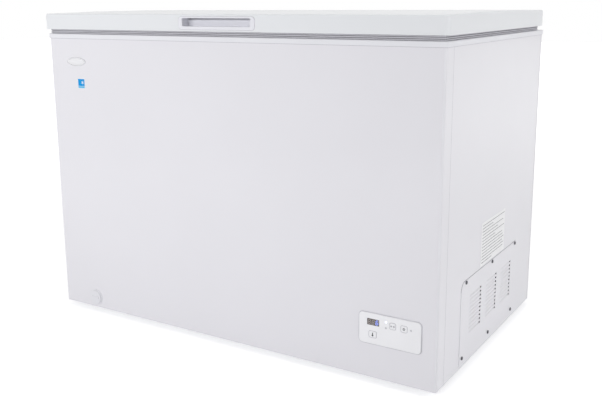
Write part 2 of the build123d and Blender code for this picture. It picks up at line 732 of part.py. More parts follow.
def hinge_base(middle):
    """Bracket on the cabinet's back: plate, two cheeks with the pin's eyes, and a bridge behind."""
    plate_y = (Y_PANEL_BACK, Y_PANEL_BACK + HINGE_PLATE)
    low, high = base_plate_z()
    body = block(around(middle, HINGE_WIDTH), plate_y, (low, high))
    front, back = Y_PIVOT - HINGE_EYE, Y_PIVOT + BRIDGE_FACE + HINGE_PLATE
    bridge_z = (Z_PIVOT - BRIDGE_DROP - BRIDGE_HEIGHT, Z_PIVOT - BRIDGE_DROP)
    outline = Polyline(
        (plate_y[0], low + HINGE_SCREW_EDGE),
        (plate_y[0], high),
        (front, high),
        (front, Z_PIVOT),
        (Y_PIVOT + HINGE_EYE, Z_PIVOT),
        (back, bridge_z[1]),
        (back, bridge_z[0]),
        close=True,
    )
    cheek = make_face(outline) + Pos(Y_PIVOT, Z_PIVOT) * Circle(HINGE_EYE)
    body += cheek_pair(cheek, middle, base_inner())
    body += block(around(middle, base_inner()), (Y_PIVOT + BRIDGE_FACE, back), bridge_z)
    body -= pin_bore(middle)
    return drill(body, base_screw_places(middle), BACK)


def hinge_leaf(middle):
    """Bracket on the lid's back edge: plate, two cheeks with the pin's eyes, and a tab for the spring."""
    plate_y = (LID_Y[1], LID_Y[1] + HINGE_PLATE)
    low, high = leaf_z()
    body = block(around(middle, HINGE_WIDTH), plate_y, (low, high))
    slope = HINGE_EYE * math.sqrt(0.5)
    outline = Polyline(
        (plate_y[0], low),
        (plate_y[0], high),
        (Y_PIVOT + slope, Z_PIVOT + slope),
        (Y_PIVOT - slope, Z_PIVOT - slope),
        close=True,
    )
    cheek = make_face(outline) + Pos(Y_PIVOT, Z_PIVOT) * Circle(HINGE_EYE)
    body += cheek_pair(cheek, middle, LEAF_INNER)
    tab_z = Z_PIVOT + SPRING_RADIUS + SPRING_WIRE + FIT
    tab_y = (plate_y[0], plate_y[1] + TAB_REACH)
    body += block(around(middle, LEAF_INNER), tab_y, (tab_z, tab_z + HINGE_PLATE))
    body -= pin_bore(middle)
    return drill(body, leaf_screw_places(middle), BACK)


def hinge_pin(middle):
    """Riveted pin through the eyes of base and leaf."""
    reach = base_inner() / 2 + HINGE_PLATE + FIT
    ends = [(middle + side * reach, Y_PIVOT, Z_PIVOT) for side in (-1, 1)]
    heads = [(x + side * PIN_HEAD_HEIGHT, y, z) for side, (x, y, z) in zip((-1, 1), ends)]
    body = rod(*ends, PIN_RADIUS)
    for end, head in zip(ends, heads):
        body += rod(end, head, PIN_HEAD)
    return body


def spring_quarters():
    """Quarter turns of a spring: whole turns, then one more from the leg below to the leg on top."""
    return 4 * SPRING_TURNS + 1


def spring_point(middle, angle):
    """A point of a spring's helix and the direction in which it runs on."""
    length = SPRING_PITCH * spring_quarters() / 4
    x = middle - length / 2 + SPRING_PITCH * angle / (2 * math.pi)
    across = (SPRING_RADIUS * math.cos(angle), SPRING_RADIUS * math.sin(angle))
    place = Vector(x, Y_PIVOT + across[0], Z_PIVOT + across[1])
    onward = Vector(SPRING_PITCH / (2 * math.pi), -across[1], across[0])
    return place, onward.normalized()


def biarc(start, start_way, end, end_way):
    """Two arcs that join two points and keep both directions."""
    chord = end - start
    both = start_way + end_way
    turn = 2 * (1 - start_way.dot(end_way))
    along = chord.dot(both)
    reach = (math.sqrt(along**2 + turn * chord.dot(chord)) - along) / turn
    first = start + start_way * reach
    second = end - end_way * reach
    joint = (first + second) * 0.5
    return [
        TangentArc(start, joint, tangent=start_way),
        TangentArc(joint, end, tangent=second - first),
    ]


def hinge_spring(middle):
    """Torsion spring round the pin: one leg down against the bridge, one out under the leaf's tab."""
    stations = [spring_point(middle, step * math.pi / 2) for step in range(spring_quarters() + 1)]
    (first, first_way), (last, last_way) = stations[0], stations[-1]
    edges = [Line(first - first_way * SPRING_LEG_DOWN, first)]
    for (start, start_way), (end, end_way) in zip(stations, stations[1:]):
        edges += biarc(start, start_way, end, end_way)
    edges.append(Line(last, last + last_way * SPRING_LEG_OUT))
    return swept(Wire([edge.edge() for edge in edges]), SPRING_WIRE)


def spring_gap():
    """Least gap between a spring's turns, measured on points."""
    steps = 24
    angles = [2 * math.pi * step / steps for step in range(steps * SPRING_TURNS)]
    points = [spring_point(0, angle)[0] for angle in angles]
    far = [(a, b) for i, a in enumerate(points) for b in points[i + steps // 2:]]
    return min((a - b).length for a, b in far) - 2 * SPRING_WIRE


# Control panel

def housing_block(extra, y):
    """The panel housing's outer form, made larger all round."""
    width, height = HOUSING_WIDTH + 2 * extra, HOUSING_HEIGHT + 2 * extra
    return rounded_front(width, height, HOUSING_CORNER + extra, X_PANEL, PANEL_Z, y)


def panel_plate(inset, y):
    """A plate with the panel's outline, drawn in by an inset."""
    width, height = PANEL_WIDTH - 2 * inset, PANEL_HEIGHT - 2 * inset
    return rounded_front(width, height, PANEL_CORNER - inset, X_PANEL, PANEL_Z, y)


def on_panel(place):
    """X and Z of a place given from the panel's middle."""
    return X_PANEL + place[0], PANEL_Z + place[1]


def control_seal():
    """Soft strip round the fascia."""
    y = (Y_FRONT - SEAL_PROUD, Y_FRONT)
    return panel_plate(0, y) - panel_plate(SEAL_WIDTH, grow(y, CUT))


def control_fascia():
    """Moulded panel front with openings for the display, the buttons and the lights."""
    y = (Y_FASCIA, Y_FRONT)
    body = panel_plate(SEAL_WIDTH + FASCIA_GAP, y)
    body = fillet(body.faces().sort_by(Axis.Y)[0].edges(), FASCIA_ROUND)
    body -= display_plate(FASCIA_GAP, grow(y, CUT))
    for place, size in BUTTONS.values():
        body -= button_plate(place, size, BUTTON_GAP, grow(y, CUT))
    holes = [(x, Y_FRONT, z) for x, z in map(on_panel, LENS_PLACES)]
    return drill(body, holes, FRONT, LENS_RADIUS + FASCIA_GAP, FASCIA + CUT)


def display_plate(extra, y):
    """A plate with the display's outline, made larger all round."""
    width, height = DISPLAY_WIDTH + 2 * extra, DISPLAY_HEIGHT + 2 * extra
    return rounded_front(width, height, DISPLAY_CORNER + extra, *on_panel(DISPLAY_AT), y)


def button_plate(place, size, extra, y):
    """A plate with a button's outline, made larger all round."""
    width, height = size[0] + 2 * extra, size[1] + 2 * extra
    return rounded_front(width, height, BUTTON_CORNER + extra, *on_panel(place), y)


def display_window():
    """Dark window over the display."""
    return display_plate(0, (Y_FASCIA + DISPLAY_SINK, Y_FRONT))


def display_module():
    """Digit block on the board, behind the window."""
    return display_plate(-MODULE_MARGIN, (Y_FRONT + FIT, Y_BOARD))


def button(place, size):
    """A push button: cap, flange behind the fascia, and a stem to its switch."""
    cap = button_plate(place, size, 0, (Y_FASCIA - BUTTON_PROUD, Y_FRONT + FIT))
    cap = fillet(cap.faces().sort_by(Axis.Y)[0].edges(), BUTTON_ROUND)
    flange_y = (Y_FRONT + FIT, Y_FRONT + FIT + BUTTON_FLANGE)
    cap += button_plate(place, size, BUTTON_LAP, flange_y)
    x, z = on_panel(place)
    tip = Y_BOARD - SWITCH_HEIGHT - BUTTON_TRAVEL - FIT
    return cap + rod((x, flange_y[1], z), (x, tip, z), BUTTON_STEM)


def tact_switch(place):
    """Switch body on the board with its round plunger."""
    x, z = on_panel(place)
    half = SWITCH_HEIGHT / 2
    body = block(around(x, SWITCH_SIZE), (Y_BOARD - half, Y_BOARD), around(z, SWITCH_SIZE))
    return body + rod((x, Y_BOARD - SWITCH_HEIGHT, z), (x, Y_BOARD - half, z), BUTTON_STEM / 2)


def indicator_lens(place):
    """Light pipe of one indicator."""
    x, z = on_panel(place)
    return rod((x, Y_FASCIA, z), (x, Y_FASCIA + LENS_LENGTH, z), LENS_RADIUS)


def control_board():
    """Circuit board on the housing's posts."""
    return housing_block(-HOUSING_WALL - FIT, (Y_BOARD, Y_BOARD + BOARD))


def control_housing():
    """Box behind the fascia, open to the front, with posts for the board."""
    back = Y_FRONT + HOUSING_DEPTH
    body = housing_block(0, (Y_FRONT, back))
    body -= housing_block(-HOUSING_WALL, (Y_FRONT - CUT, back - HOUSING_WALL))
    for x in around(X_PANEL, HOUSING_WIDTH - 2 * POST_INSET):
        for z in around(PANEL_Z, HOUSING_HEIGHT - 2 * POST_INSET):
            body += rod((x, Y_BOARD + BOARD, z), (x, back - HOUSING_WALL, z), POST_RADIUS)
    return body


def control_cable():
    """Cable from the housing's back to the relay cover."""
    relay_front = Y_VENT - relay_reach() - RELAY_DEPTH
    start = Y_FRONT + HOUSING_DEPTH
    low, high = relay_z()
    level = (low + high) / 2
    points = [
        (X_PANEL, start, PANEL_Z),
        (X_PANEL, start + CABLE_RUN, PANEL_Z),
        (X_COMPRESSOR, relay_front - CABLE_RUN, level),
        (X_COMPRESSOR, relay_front, level),
    ]
    return bent(points, CABLE_RADIUS, CABLE_BEND)


def badge_plate():
    """Blank oval plate."""
    middle = Pos(-X_RIGHT + BADGE_FROM_LEFT, Z_RIM - BADGE_BELOW_RIM)
    outline = middle * Ellipse(BADGE_WIDTH / 2, BADGE_HEIGHT / 2)
    body = front_plate(outline, (Y_FRONT - BADGE_THICKNESS, Y_FRONT))
    return fillet(body.faces().sort_by(Axis.Y)[0].edges(), BADGE_ROUND)


# Drain

def drain_outlet():
    """Flanged spigot through the cabinet's front."""
    face = Y_FRONT - DRAIN_FLANGE_THICKNESS
    body = rod((X_DRAIN, face, DRAIN_Z), (X_DRAIN, Y_FRONT, DRAIN_Z), DRAIN_FLANGE)
    inner = (X_DRAIN, Y_FRONT + DRAIN_BARREL_LENGTH, DRAIN_Z)
    body += rod((X_DRAIN, Y_FRONT, DRAIN_Z), inner, DRAIN_BARREL)
    return body - hole((X_DRAIN, Y_FRONT, DRAIN_Z), FRONT, DRAIN_BORE, DRAIN_BARREL_LENGTH + CUT)


def drain_cap():
    """Cap that pulls out of the spigot: a disc with a bar to grip and a hollow plug."""
    seat = Y_FRONT - DRAIN_FLANGE_THICKNESS - FIT
    face = seat - CAP_THICKNESS
    plug_end = seat + CAP_PLUG_LENGTH
    plug = DRAIN_BORE - FIT
    body = rod((X_DRAIN, face, DRAIN_Z), (X_DRAIN, seat, DRAIN_Z), CAP_RADIUS)
    body = fillet(body.faces().sort_by(Axis.Y)[0].edges(), CAP_ROUND)
    body += rod((X_DRAIN, seat, DRAIN_Z), (X_DRAIN, plug_end, DRAIN_Z), plug)
    body -= rod((X_DRAIN, seat, DRAIN_Z), (X_DRAIN, plug_end + CUT, DRAIN_Z), plug - CAP_PLUG_WALL)
    grip_x, grip_z = around(X_DRAIN, CAP_GRIP_WIDTH), around(DRAIN_Z, CAP_GRIP_HEIGHT)
    return body + block(grip_x, (face - CAP_GRIP_PROUD, face), grip_z)


def drain_bar(radius):
    """A bar along the drain, from the spigot to the tub's floor."""
    points = [
        (X_DRAIN, Y_FRONT + DRAIN_BARREL_LENGTH, DRAIN_Z),
        (X_DRAIN, Y_DRAIN, DRAIN_Z),
        (X_DRAIN, Y_DRAIN, Z_TUB - LINER),
    ]
    return bent(points, radius, DRAIN_BEND)


def drain_tube():
    """Tube under the tub from its drain to the spigot."""
    return drain_bar(DRAIN_TUBE) - drain_bar(DRAIN_BORE)


def drain_plug():
    """Plug in the tub's floor, with a knob to lift it by."""
    seat = Z_TUB + FIT
    top = seat + PLUG_HEAD_HEIGHT
    body = rod((X_DRAIN, Y_DRAIN, seat), (X_DRAIN, Y_DRAIN, top), PLUG_HEAD)
    stem_end = DRAIN_Z + DRAIN_BEND + FIT
    body += rod((X_DRAIN, Y_DRAIN, stem_end), (X_DRAIN, Y_DRAIN, seat), DRAIN_BORE - FIT)
    return body + rod((X_DRAIN, Y_DRAIN, top), (X_DRAIN, Y_DRAIN, top + PLUG_KNOB_HEIGHT), PLUG_KNOB)


# Vent cover

def louvre_places():
    """Middle of each louvre along Y and Z."""
    columns = [Y_VENT + (i - (LOUVRE_COLUMNS - 1) / 2) * LOUVRE_SPACING for i in range(LOUVRE_COLUMNS)]
    rows = [LOUVRE_Z + (i - (LOUVRE_ROWS - 1) / 2) * LOUVRE_PITCH for i in range(LOUVRE_ROWS)]
    return [(y, z) for y in columns for z in rows]


def louvre_blade(y, z):
    """A blade bent inwards from the lower edge of its slot, which it leaves open at the rear end."""
    low, high = around(z, LOUVRE_HEIGHT)
    front, rear = around(y, LOUVRE_LENGTH)
    outline = Polyline(
        (X_RIGHT, low),
        (X_RIGHT + SHEET, low),
        (X_RIGHT + SHEET - LOUVRE_DEPTH, high),
        (X_RIGHT - LOUVRE_DEPTH, high),
        close=True,
    )
    return front_plate(make_face(outline), (front + LOUVRE_SLIT, rear - LOUVRE_END))


def vent_cover():
    """Louvred steel cover over the opening of the machine bay."""
    outline = Pos(Y_VENT, (VENT_BOTTOM + VENT_TOP) / 2) * Rectangle(VENT_WIDTH, VENT_TOP - VENT_BOTTOM)
    outline = fillet(outline.vertices().sort_by(Axis.Y)[-2:], VENT_CORNER)
    face_x = (X_RIGHT, X_RIGHT + SHEET)
    body = side_plate(outline, face_x)
    slots = [
        block(grow(face_x, CUT), around(y, LOUVRE_LENGTH), around(z, LOUVRE_HEIGHT))
        for y, z in louvre_places()
    ]
    body = body - slots + [louvre_blade(y, z) for y, z in louvre_places()]
    return drill(body, vent_screw_places(), RIGHT)


# Machine bay

def can(radius, height, rounding, low):
    """A round can with one end rounded, at the bottom if low and else at the top."""
    body = Cylinder(radius, height, align=UPWARD)
    rings = body.edges().filter_by(GeomType.CIRCLE).sort_by(Axis.Z)
    return fillet(rings[0 if low else -1], rounding)


def shell(height, rounding, low):
    """A compressor can and the space inside it."""
    wall = COMPRESSOR_WALL
    hollow = can(COMPRESSOR_RADIUS - wall, height, rounding - wall, low)
    return can(COMPRESSOR_RADIUS, height, rounding, low), Pos(0, 0, wall if low else -wall) * hollow


def seam(z):
    """Welded flange of one compressor shell, from a level upwards."""
    return Pos(0, 0, z) * Cylinder(COMPRESSOR_RADIUS + COMPRESSOR_SEAM, SEAM_HEIGHT, align=UPWARD)


def stub_ends(number):
    """Root and end of a tube stub at the compressor's back: 0 is discharge, 1 is suction."""
    x = X_COMPRESSOR + STUB_OFFSET * (1 - 2 * number)
    z = Z_STUB + STUB_STEP * number
    return (x, Y_VENT, z), (x, Y_VENT + STUB_REACH, z)


def compressor_lower_shell():
    """Lower can with the two tube stubs."""
    body, hollow = shell(COMPRESSOR_LOWER, COMPRESSOR_LOWER_ROUND, True)
    place = Pos(X_COMPRESSOR, Y_VENT, Z_COMPRESSOR)
    body = place * (body + seam(COMPRESSOR_LOWER - SEAM_HEIGHT))
    for number in range(2):
        body += rod(*stub_ends(number), STUB_RADIUS)
    return body - place * hollow


def compressor_upper_shell():
    """Upper can, welded on the lower one."""
    body, hollow = shell(COMPRESSOR_UPPER, COMPRESSOR_UPPER_ROUND, False)
    return Pos(X_COMPRESSOR, Y_VENT, Z_SEAM) * (body + seam(0) - hollow)


def compressor_motor():
    """Motor and pump inside the compressor."""
    body = can(MOTOR_RADIUS, MOTOR_HEIGHT, COMPRESSOR_LOWER_ROUND - COMPRESSOR_WALL, True)
    body -= Pos(0, 0, MOTOR_HEIGHT) * Cylinder(MOTOR_BORE, 2 * MOTOR_BORE_DEPTH)
    return Pos(X_COMPRESSOR, Y_VENT, Z_COMPRESSOR + COMPRESSOR_WALL) * body


def compressor_bracket():
    """Plate that carries the compressor on its rubber mounts."""
    z = (Z_BRACKET, Z_COMPRESSOR)
    body = upright(around(X_COMPRESSOR, BRACKET_X), around(Y_VENT, BRACKET_Y), z, BOLT_INSET)
    return drill(body, bolt_places(Z_BRACKET), DOWN, BOLT_RADIUS + FIT)


def grommet(place):
    """Rubber mount round one bolt."""
    body = Cylinder(GROMMET_RADIUS, GROMMET_HEIGHT, align=UPWARD)
    body -= Cylinder(BOLT_RADIUS + FIT, GROMMET_HEIGHT, align=UPWARD)
    return Pos(*place) * body


def compressor_bolt(place):
    """Bolt through bracket, mount and tray, with a hexagon head."""
    head = extrude(RegularPolygon(BOLT_HEAD, 6), amount=BOLT_HEAD_HEIGHT)
    length = Z_COMPRESSOR - Z_PAN
    return Pos(*place) * (head + Pos(0, 0, -length) * Cylinder(BOLT_RADIUS, length, align=UPWARD))


def relay_reach():
    """Distance from the compressor's axis to the relay cover."""
    return COMPRESSOR_RADIUS + FIT


def relay_z():
    """Upright span of the relay cover, under the compressor's seam."""
    top = Z_SEAM - SEAM_HEIGHT - FIT
    return (top - RELAY_HEIGHT, top)


def relay_cover():
    """Cover of the starter relay, on the compressor's front."""
    near = Y_VENT - relay_reach()
    y = (near - RELAY_DEPTH, near + RELAY_DEPTH)
    body = upright(around(X_COMPRESSOR, RELAY_WIDTH), y, relay_z(), RELAY_CORNER)
    return body - hole((X_COMPRESSOR, Y_VENT, 0), DOWN, relay_reach(), Z_RIM)


def coil_route(x, y, end_z):
    """A coil's points: passes round back, left and front, with both ends dropping at the right."""
    left, right = x
    front, back = y
    low, high = Z_STEP + COIL_MARGIN, Z_WALL_TOP - COIL_MARGIN
    levels = [low + (high - low) * number / (COIL_PASSES - 1) for number in range(COIL_PASSES)]
    turn = right - COIL_TURN
    inlet, outlet = back - COIL_DROP, front + COIL_DROP
    points = [(right, inlet, end_z), (right, inlet, low), (right, back, low)]
    for number, z in enumerate(levels):
        near, far = (back, front) if number % 2 == 0 else (front, back)
        if number > 0:
            points.append((turn, near, z))
        points += [(left, near, z), (left, far, z)]
        if number < COIL_PASSES - 1:
            points.append((turn, far, z))
    return points + [(right, front, high), (right, outlet, high), (right, outlet, end_z)]


def condenser_coil(extra=0.0):
    """Coil in the foam behind the cabinet's walls, which gives off the heat."""
    return bent(coil_route(CONDENSER_X, CONDENSER_Y, Z_COIL_END), CONDENSER_TUBE + extra, COIL_BEND)


def evaporator_coil(extra=0.0):
    """Coil in the foam round the tub, which takes up the heat."""
    return bent(coil_route(EVAPORATOR_X, EVAPORATOR_Y, Z_COIL_END), EVAPORATOR_TUBE + extra, COIL_BEND)


def discharge_tube():
    """Tube from the compressor to the condenser coil."""
    _, (x, y, z) = stub_ends(0)
    inlet_y = CONDENSER_Y[1] - COIL_DROP
    points = [
        (x, y, z),
        (x, inlet_y, z),
        (X_CONDENSER, inlet_y, z),
        (X_CONDENSER, inlet_y, Z_COIL_END),
    ]
    return bent(points, CONDENSER_TUBE, TUBE_BEND)


def suction_tube():
    """Tube from the evaporator coil back to the compressor."""
    _, (x, y, z) = stub_ends(1)
    outlet_y = EVAPORATOR_Y[1] - COIL_DROP
    points = [
        (x, y, z),
        (x, outlet_y, z),
        (X_EVAPORATOR, outlet_y, z),
        (X_EVAPORATOR, outlet_y, Z_COIL_END),
    ]
    return bent(points, EVAPORATOR_TUBE, TUBE_BEND)


def drier_place():
    """X, Y and the upper end of the filter drier."""
    y = CONDENSER_Y[0] + COIL_DROP
    return X_EVAPORATOR, y, Z_COIL_END - DRIER_DROP


def condenser_return():
    """Tube from the condenser coil's end to the filter drier."""
    x, y, top = drier_place()
    middle = (Z_COIL_END + top) / 2
    points = [(X_CONDENSER, y, Z_COIL_END), (X_CONDENSER, y, middle), (x, y, middle), (x, y, top)]
    return bent(points, CONDENSER_TUBE, TUBE_BEND)


def filter_drier():
    """Copper drier with necked ends."""
    x, y, top = drier_place()
    low = top - DRIER_LENGTH
    profile = Polyline(
        (0, low),
        (CONDENSER_TUBE, low),
        (DRIER_RADIUS, low + DRIER_NECK),
        (DRIER_RADIUS, top - DRIER_NECK),
        (CONDENSER_TUBE, top),
        (0, top),
        close=True,
    )
    return Pos(x, y, 0) * revolve(Plane.XZ * make_face(profile), Axis.Z)


def capillary_tube():
    """Thin tube from the drier to the evaporator coil."""
    x, y, top = drier_place()
    inlet_y = EVAPORATOR_Y[0] + COIL_DROP
    low = Z_TRAY + CAPILLARY_LOW
    points = [
        (x, y, top - DRIER_LENGTH),
        (x, y, low),
        (x, inlet_y, low),
        (x, inlet_y, Z_COIL_END),
    ]
    return bent(points, CAPILLARY, CAPILLARY_BEND)


# Basket

def basket_cells(span, margin):
    """Middles and width of the gaps between wires along a span."""
    low, high = grow(span, -margin)
    count = round((high - low) / BASKET_CELL)
    pitch = (high - low) / count
    return [low + (number + 0.5) * pitch for number in range(count)], pitch - BASKET_WIRE


def storage_basket():
    """Wire basket with a solid upper band and four hooks that rest on the rim."""
    body = upright(BASKET_X, BASKET_Y, BASKET_Z, BASKET_CORNER)
    body = fillet(body.faces().sort_by(Axis.Z)[0].edges(), BASKET_FLOOR_ROUND)
    inside_x, inside_y = grow(BASKET_X, -BASKET_WIRE), grow(BASKET_Y, -BASKET_WIRE)
    inside_z = (BASKET_Z[0] + BASKET_WIRE, BASKET_Z[1] + CUT)
    inner = upright(inside_x, inside_y, inside_z, BASKET_CORNER - BASKET_WIRE)
    body -= fillet(inner.faces().sort_by(Axis.Z)[0].edges(), BASKET_FLOOR_ROUND - BASKET_WIRE)
    across, gap_x = basket_cells(BASKET_X, BASKET_CORNER)
    along, gap_y = basket_cells(BASKET_Y, BASKET_CORNER)
    wall = (BASKET_Z[0] + BASKET_FLOOR_ROUND, BASKET_Z[1] - BASKET_BAND)
    middle = (wall[0] + wall[1]) / 2
    levels = [(wall[0], middle - BASKET_WIRE / 2), (middle + BASKET_WIRE / 2, wall[1])]
    floor = grow((BASKET_Z[0], BASKET_Z[0] + BASKET_WIRE), CUT)
    cuts = [block(around(x, gap_x), around(y, gap_y), floor) for x in across for y in along]
    for level in levels:
        cuts += [block(around(x, gap_x), grow(BASKET_Y, CUT), level) for x in across]
        cuts += [block(grow(BASKET_X, CUT), around(y, gap_y), level) for y in along]
    return body - cuts + [hook(x, side) for x in grow(BASKET_X, -HOOK_INSET) for side in (0, 1)]


def hook(x, side):
    """A bent strap from the basket's band up and out onto the rim: side 0 is the front, 1 the back."""
    out = 2 * side - 1
    face = BASKET_Y[side]
    rim = TUB_Y[side] - out * RIM_OPENING + out * HOOK_REACH
    rest = Z_RIM_TOP + FIT
    high = rest + BASKET_WIRE
    outline = Polyline(
        (face, BASKET_Z[1] - BASKET_BAND),
        (face, high),
        (rim, high),
        (rim, rest),
        (face + out * BASKET_WIRE, rest),
        (face + out * BASKET_WIRE, BASKET_Z[1] - BASKET_BAND),
        close=True,
    )
    return side_plate(make_face(outline), around(x, HOOK_WIDTH))


def pieces():
    """Every node of the freezer by name."""
    nodes = {
        "cabinet_wrap": cabinet_wrap(),
        "back_panel": back_panel(),
        "base_pan": base_pan(),
        "bay_partition": bay_partition(),
        "compressor_tray": compressor_tray(),
        "foam_insulation": foam_insulation(),
        "inner_liner": inner_liner(),
        "top_rim": top_rim(),
        "feet": group([Pos(*place) * foot() for place in foot_places(0)]),
        "foot_screws": group([screw(place, DOWN) for place in foot_places(FOOT_RECESS_DEPTH)]),
        "cord_gland": cord_gland(),
        "lid_skin": lid_skin(),
        "lid_foam": lid_foam(),
        "lid_liner": lid_liner(),
        "lid_gasket": lid_gasket(),
        "handle_pull": handle_pull(),
        "hinge_base_screws": group([screw(place, BACK) for place in all_hinges(base_screw_places)]),
        "hinge_lid_screws": group([screw(place, BACK) for place in all_hinges(leaf_screw_places)]),
        "control_seal": control_seal(),
        "control_fascia": control_fascia(),
        "display_window": display_window(),
        "display_module": display_module(),
        "indicator_lenses": group([indicator_lens(place) for place in LENS_PLACES]),
        "tact_switches": group([tact_switch(place) for place, _ in BUTTONS.values()]),
        "control_board": control_board(),
        "control_housing": control_housing(),
        "control_cable": control_cable(),
        "badge_plate": badge_plate(),
        "drain_outlet": drain_outlet(),
        "drain_cap": drain_cap(),
        "drain_tube": drain_tube(),
        "drain_plug": drain_plug(),
        "vent_cover": vent_cover(),
        "vent_screws": group([screw(place, RIGHT) for place in vent_screw_places()]),
        "compressor_lower_shell": compressor_lower_shell(),
        "compressor_upper_shell": compressor_upper_shell(),
        "compressor_motor": compressor_motor(),
        "compressor_bracket": compressor_bracket(),
        "compressor_grommets": group([grommet(place) for place in bolt_places(Z_TRAY)]),
        "compressor_bolts": group([compressor_bolt(place) for place in bolt_places(Z_COMPRESSOR)]),
        "relay_cover": relay_cover(),
        "condenser_coil": condenser_coil(),
        "condenser_return": condenser_return(),
        "filter_drier": filter_drier(),
        "capillary_tube": capillary_tube(),
        "evaporator_coil": evaporator_coil(),
        "discharge_tube": discharge_tube(),
        "suction_tube": suction_tube(),
        "storage_basket": storage_basket(),
    }
    for side, middle in hinge_middles().items():
        nodes[f"hinge_base_{side}"] = hinge_base(middle)
        nodes[f"hinge_leaf_{side}"] = hinge_leaf(middle)
        nodes[f"hinge_pin_{side}"] = hinge_pin(middle)
        nodes[f"hinge_spring_{side}"] = hinge_spring(middle)
    for name, (place, size) in BUTTONS.items():
        nodes[name] = button(place, size)
    return nodes


def main():
    """Write each piece to its own file."""
    os.makedirs("parts", exist_ok=True)
    print(f"least gap between spring turns {spring_gap():.2f} mm")
    for name, body in pieces().items():
        export_step(body, f"parts/{name}.step")


main()
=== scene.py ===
import json
import math
import bmesh
import bpy
from mathutils import Matrix, Vector


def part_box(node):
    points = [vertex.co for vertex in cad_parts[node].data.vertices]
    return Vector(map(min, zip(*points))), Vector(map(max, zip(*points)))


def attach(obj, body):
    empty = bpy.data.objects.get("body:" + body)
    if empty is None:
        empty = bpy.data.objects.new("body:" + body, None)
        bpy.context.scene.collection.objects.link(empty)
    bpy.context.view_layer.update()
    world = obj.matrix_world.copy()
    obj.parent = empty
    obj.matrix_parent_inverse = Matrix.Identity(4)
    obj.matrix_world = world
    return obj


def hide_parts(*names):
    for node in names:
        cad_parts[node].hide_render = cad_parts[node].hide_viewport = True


# Finishes, printed marks and small shapes of a chest freezer.
# Metres; X to the right seen from the front, Y to the back, Z up, and the floor at Z = 0.

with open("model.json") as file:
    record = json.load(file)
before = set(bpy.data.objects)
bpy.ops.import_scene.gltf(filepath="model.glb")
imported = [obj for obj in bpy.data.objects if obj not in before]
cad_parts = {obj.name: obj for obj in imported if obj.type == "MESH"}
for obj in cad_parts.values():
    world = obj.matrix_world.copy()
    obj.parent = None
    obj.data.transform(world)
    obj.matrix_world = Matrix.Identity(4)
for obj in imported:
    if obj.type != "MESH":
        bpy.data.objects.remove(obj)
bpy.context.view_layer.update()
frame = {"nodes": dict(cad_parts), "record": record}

# Camera, as it stood for the photograph
CAMERA_PLACE = (1.2088, -1.9548, 0.8770)
CAMERA_TURN = 31.98  # degrees to the left
CAMERA_DIP = 12.255  # degrees downwards
CAMERA_ROLL = -0.461  # degrees
CAMERA_LENS = 48.97  # millimetres, on the usual 36 mm film
CAMERA_SHIFT = (0.0112, -0.0378)  # shares of the picture's width

# Stage
FLOOR_SIZE = 30.0
FLOOR_COLOUR = (0.86, 0.86, 0.87)
FLOOR_GLOW = 0.50  # seen by the camera and in mirrors, so that the floor is white out of the shadow
FAR_GLOW = 1.0
FADE = (1.5, 4.0)  # distances over which the floor goes over into the white background
PAPER_WAY = (0.37, 1.0, 0.0)  # across the edge of the white paper in front of the object
PAPER_EDGE = (-3.0, -2.4)  # the edge's soft width along that way
PAPER_END_GLOW = 0.7  # mirrored share of the glow past the edge
AMBIENT = 0.42  # light from all round; the camera, mirrors and glass see it at a strength of 1
WHITE = (1.0, 1.0, 1.0, 1.0)
# Each lamp: its place, the point that it faces, its size, its watts, and whether mirrors show it
LAMPS = {
    "lamp_right": ((3.6, -0.4, 1.4), (0.5, 0.0, 0.4), (2.0, 2.0), 32.5, True),
    "lamp_above": ((0.3, 0.2, 3.6), (0.0, 0.0, 0.8), (3.0, 2.4), 23.0, True),
    "lamp_front": ((-0.8, -2.8, 1.15), (-0.2, -0.3, 0.5), (2.0, 0.5), 30.5, False),
}

# Materials
NOISE_SPAN = (0.3, 0.7)  # most of a noise lies in this range
SEAL_RIBS = 3

# Printed marks and stickers
PRINT = 0.00012  # how far ink stands off its face
STICKER = 0.00018  # the same for a sticker
ROUND_STEPS = 10  # steps of a quarter circle
OVAL_STEPS = 80  # steps round an oval

# Display
DIGIT_PITCH = 0.0098
DIGIT_WIDTH = 0.0054
DIGIT_HEIGHT = 0.0102
DIGIT_STROKE = 0.0012
DIGIT_GAP = 0.00025  # from a digit's corner to a bar's end
DIGIT_SLANT = 0.10  # lean to the right, as a share of the height
DIGITS = (None, None, 6)  # the first two cells are dark
LIT_SEGMENTS = {6: "acdefg"}

# Panel lights: each has its place from the panel's middle, and whether it is lit
LENS_RADIUS = 0.0023
LENS_SINK = 0.0002  # dome's foot below the panel's face
LENS_DOME = 0.0007
LENS_STEPS = 5
LENSES = {
    "light_running": ((-0.0088, 0.0231), True),
    "light_mode": ((-0.0088, 0.0084), False),
    "light_power": ((0.0530, 0.0154), False),
}

# Marks on the buttons
POWER_RADIUS = 0.0030
POWER_STROKE = 0.0013
POWER_OPENING = 30  # degrees, on each side of the top
POWER_BAR = (0.0012, 0.0034)
POWER_BAR_RISE = 0.0018  # bar's middle above the ring's
THERMOMETER_HEIGHT = 0.0092
THERMOMETER_BULB = 0.0022
THERMOMETER_STEM = 0.0011
FLAKE_SPREAD = 0.0034  # each star from the button's middle
FLAKE_REACH = 0.0026
FLAKE_ARM = 0.00035  # half of an arm's width

# Oval badge
BADGE_EDGE = 0.0022  # width of the rounded edge
BADGE_SINK = 0.0006  # field below the edge's top
BADGE_SWELL = 0.0003  # field's middle above its border
BADGE_MIDDLE = 0.0095  # from the outline to the flat of the field
BEAD_STEPS = 6

# Stickers: middle and size as seen on their face
FRONT_STICKER = ((-0.4686, 0.6596), (0.0254, 0.0262))
SIDE_LABEL = ((-0.0050, 0.2905), (0.1780, 0.1100))
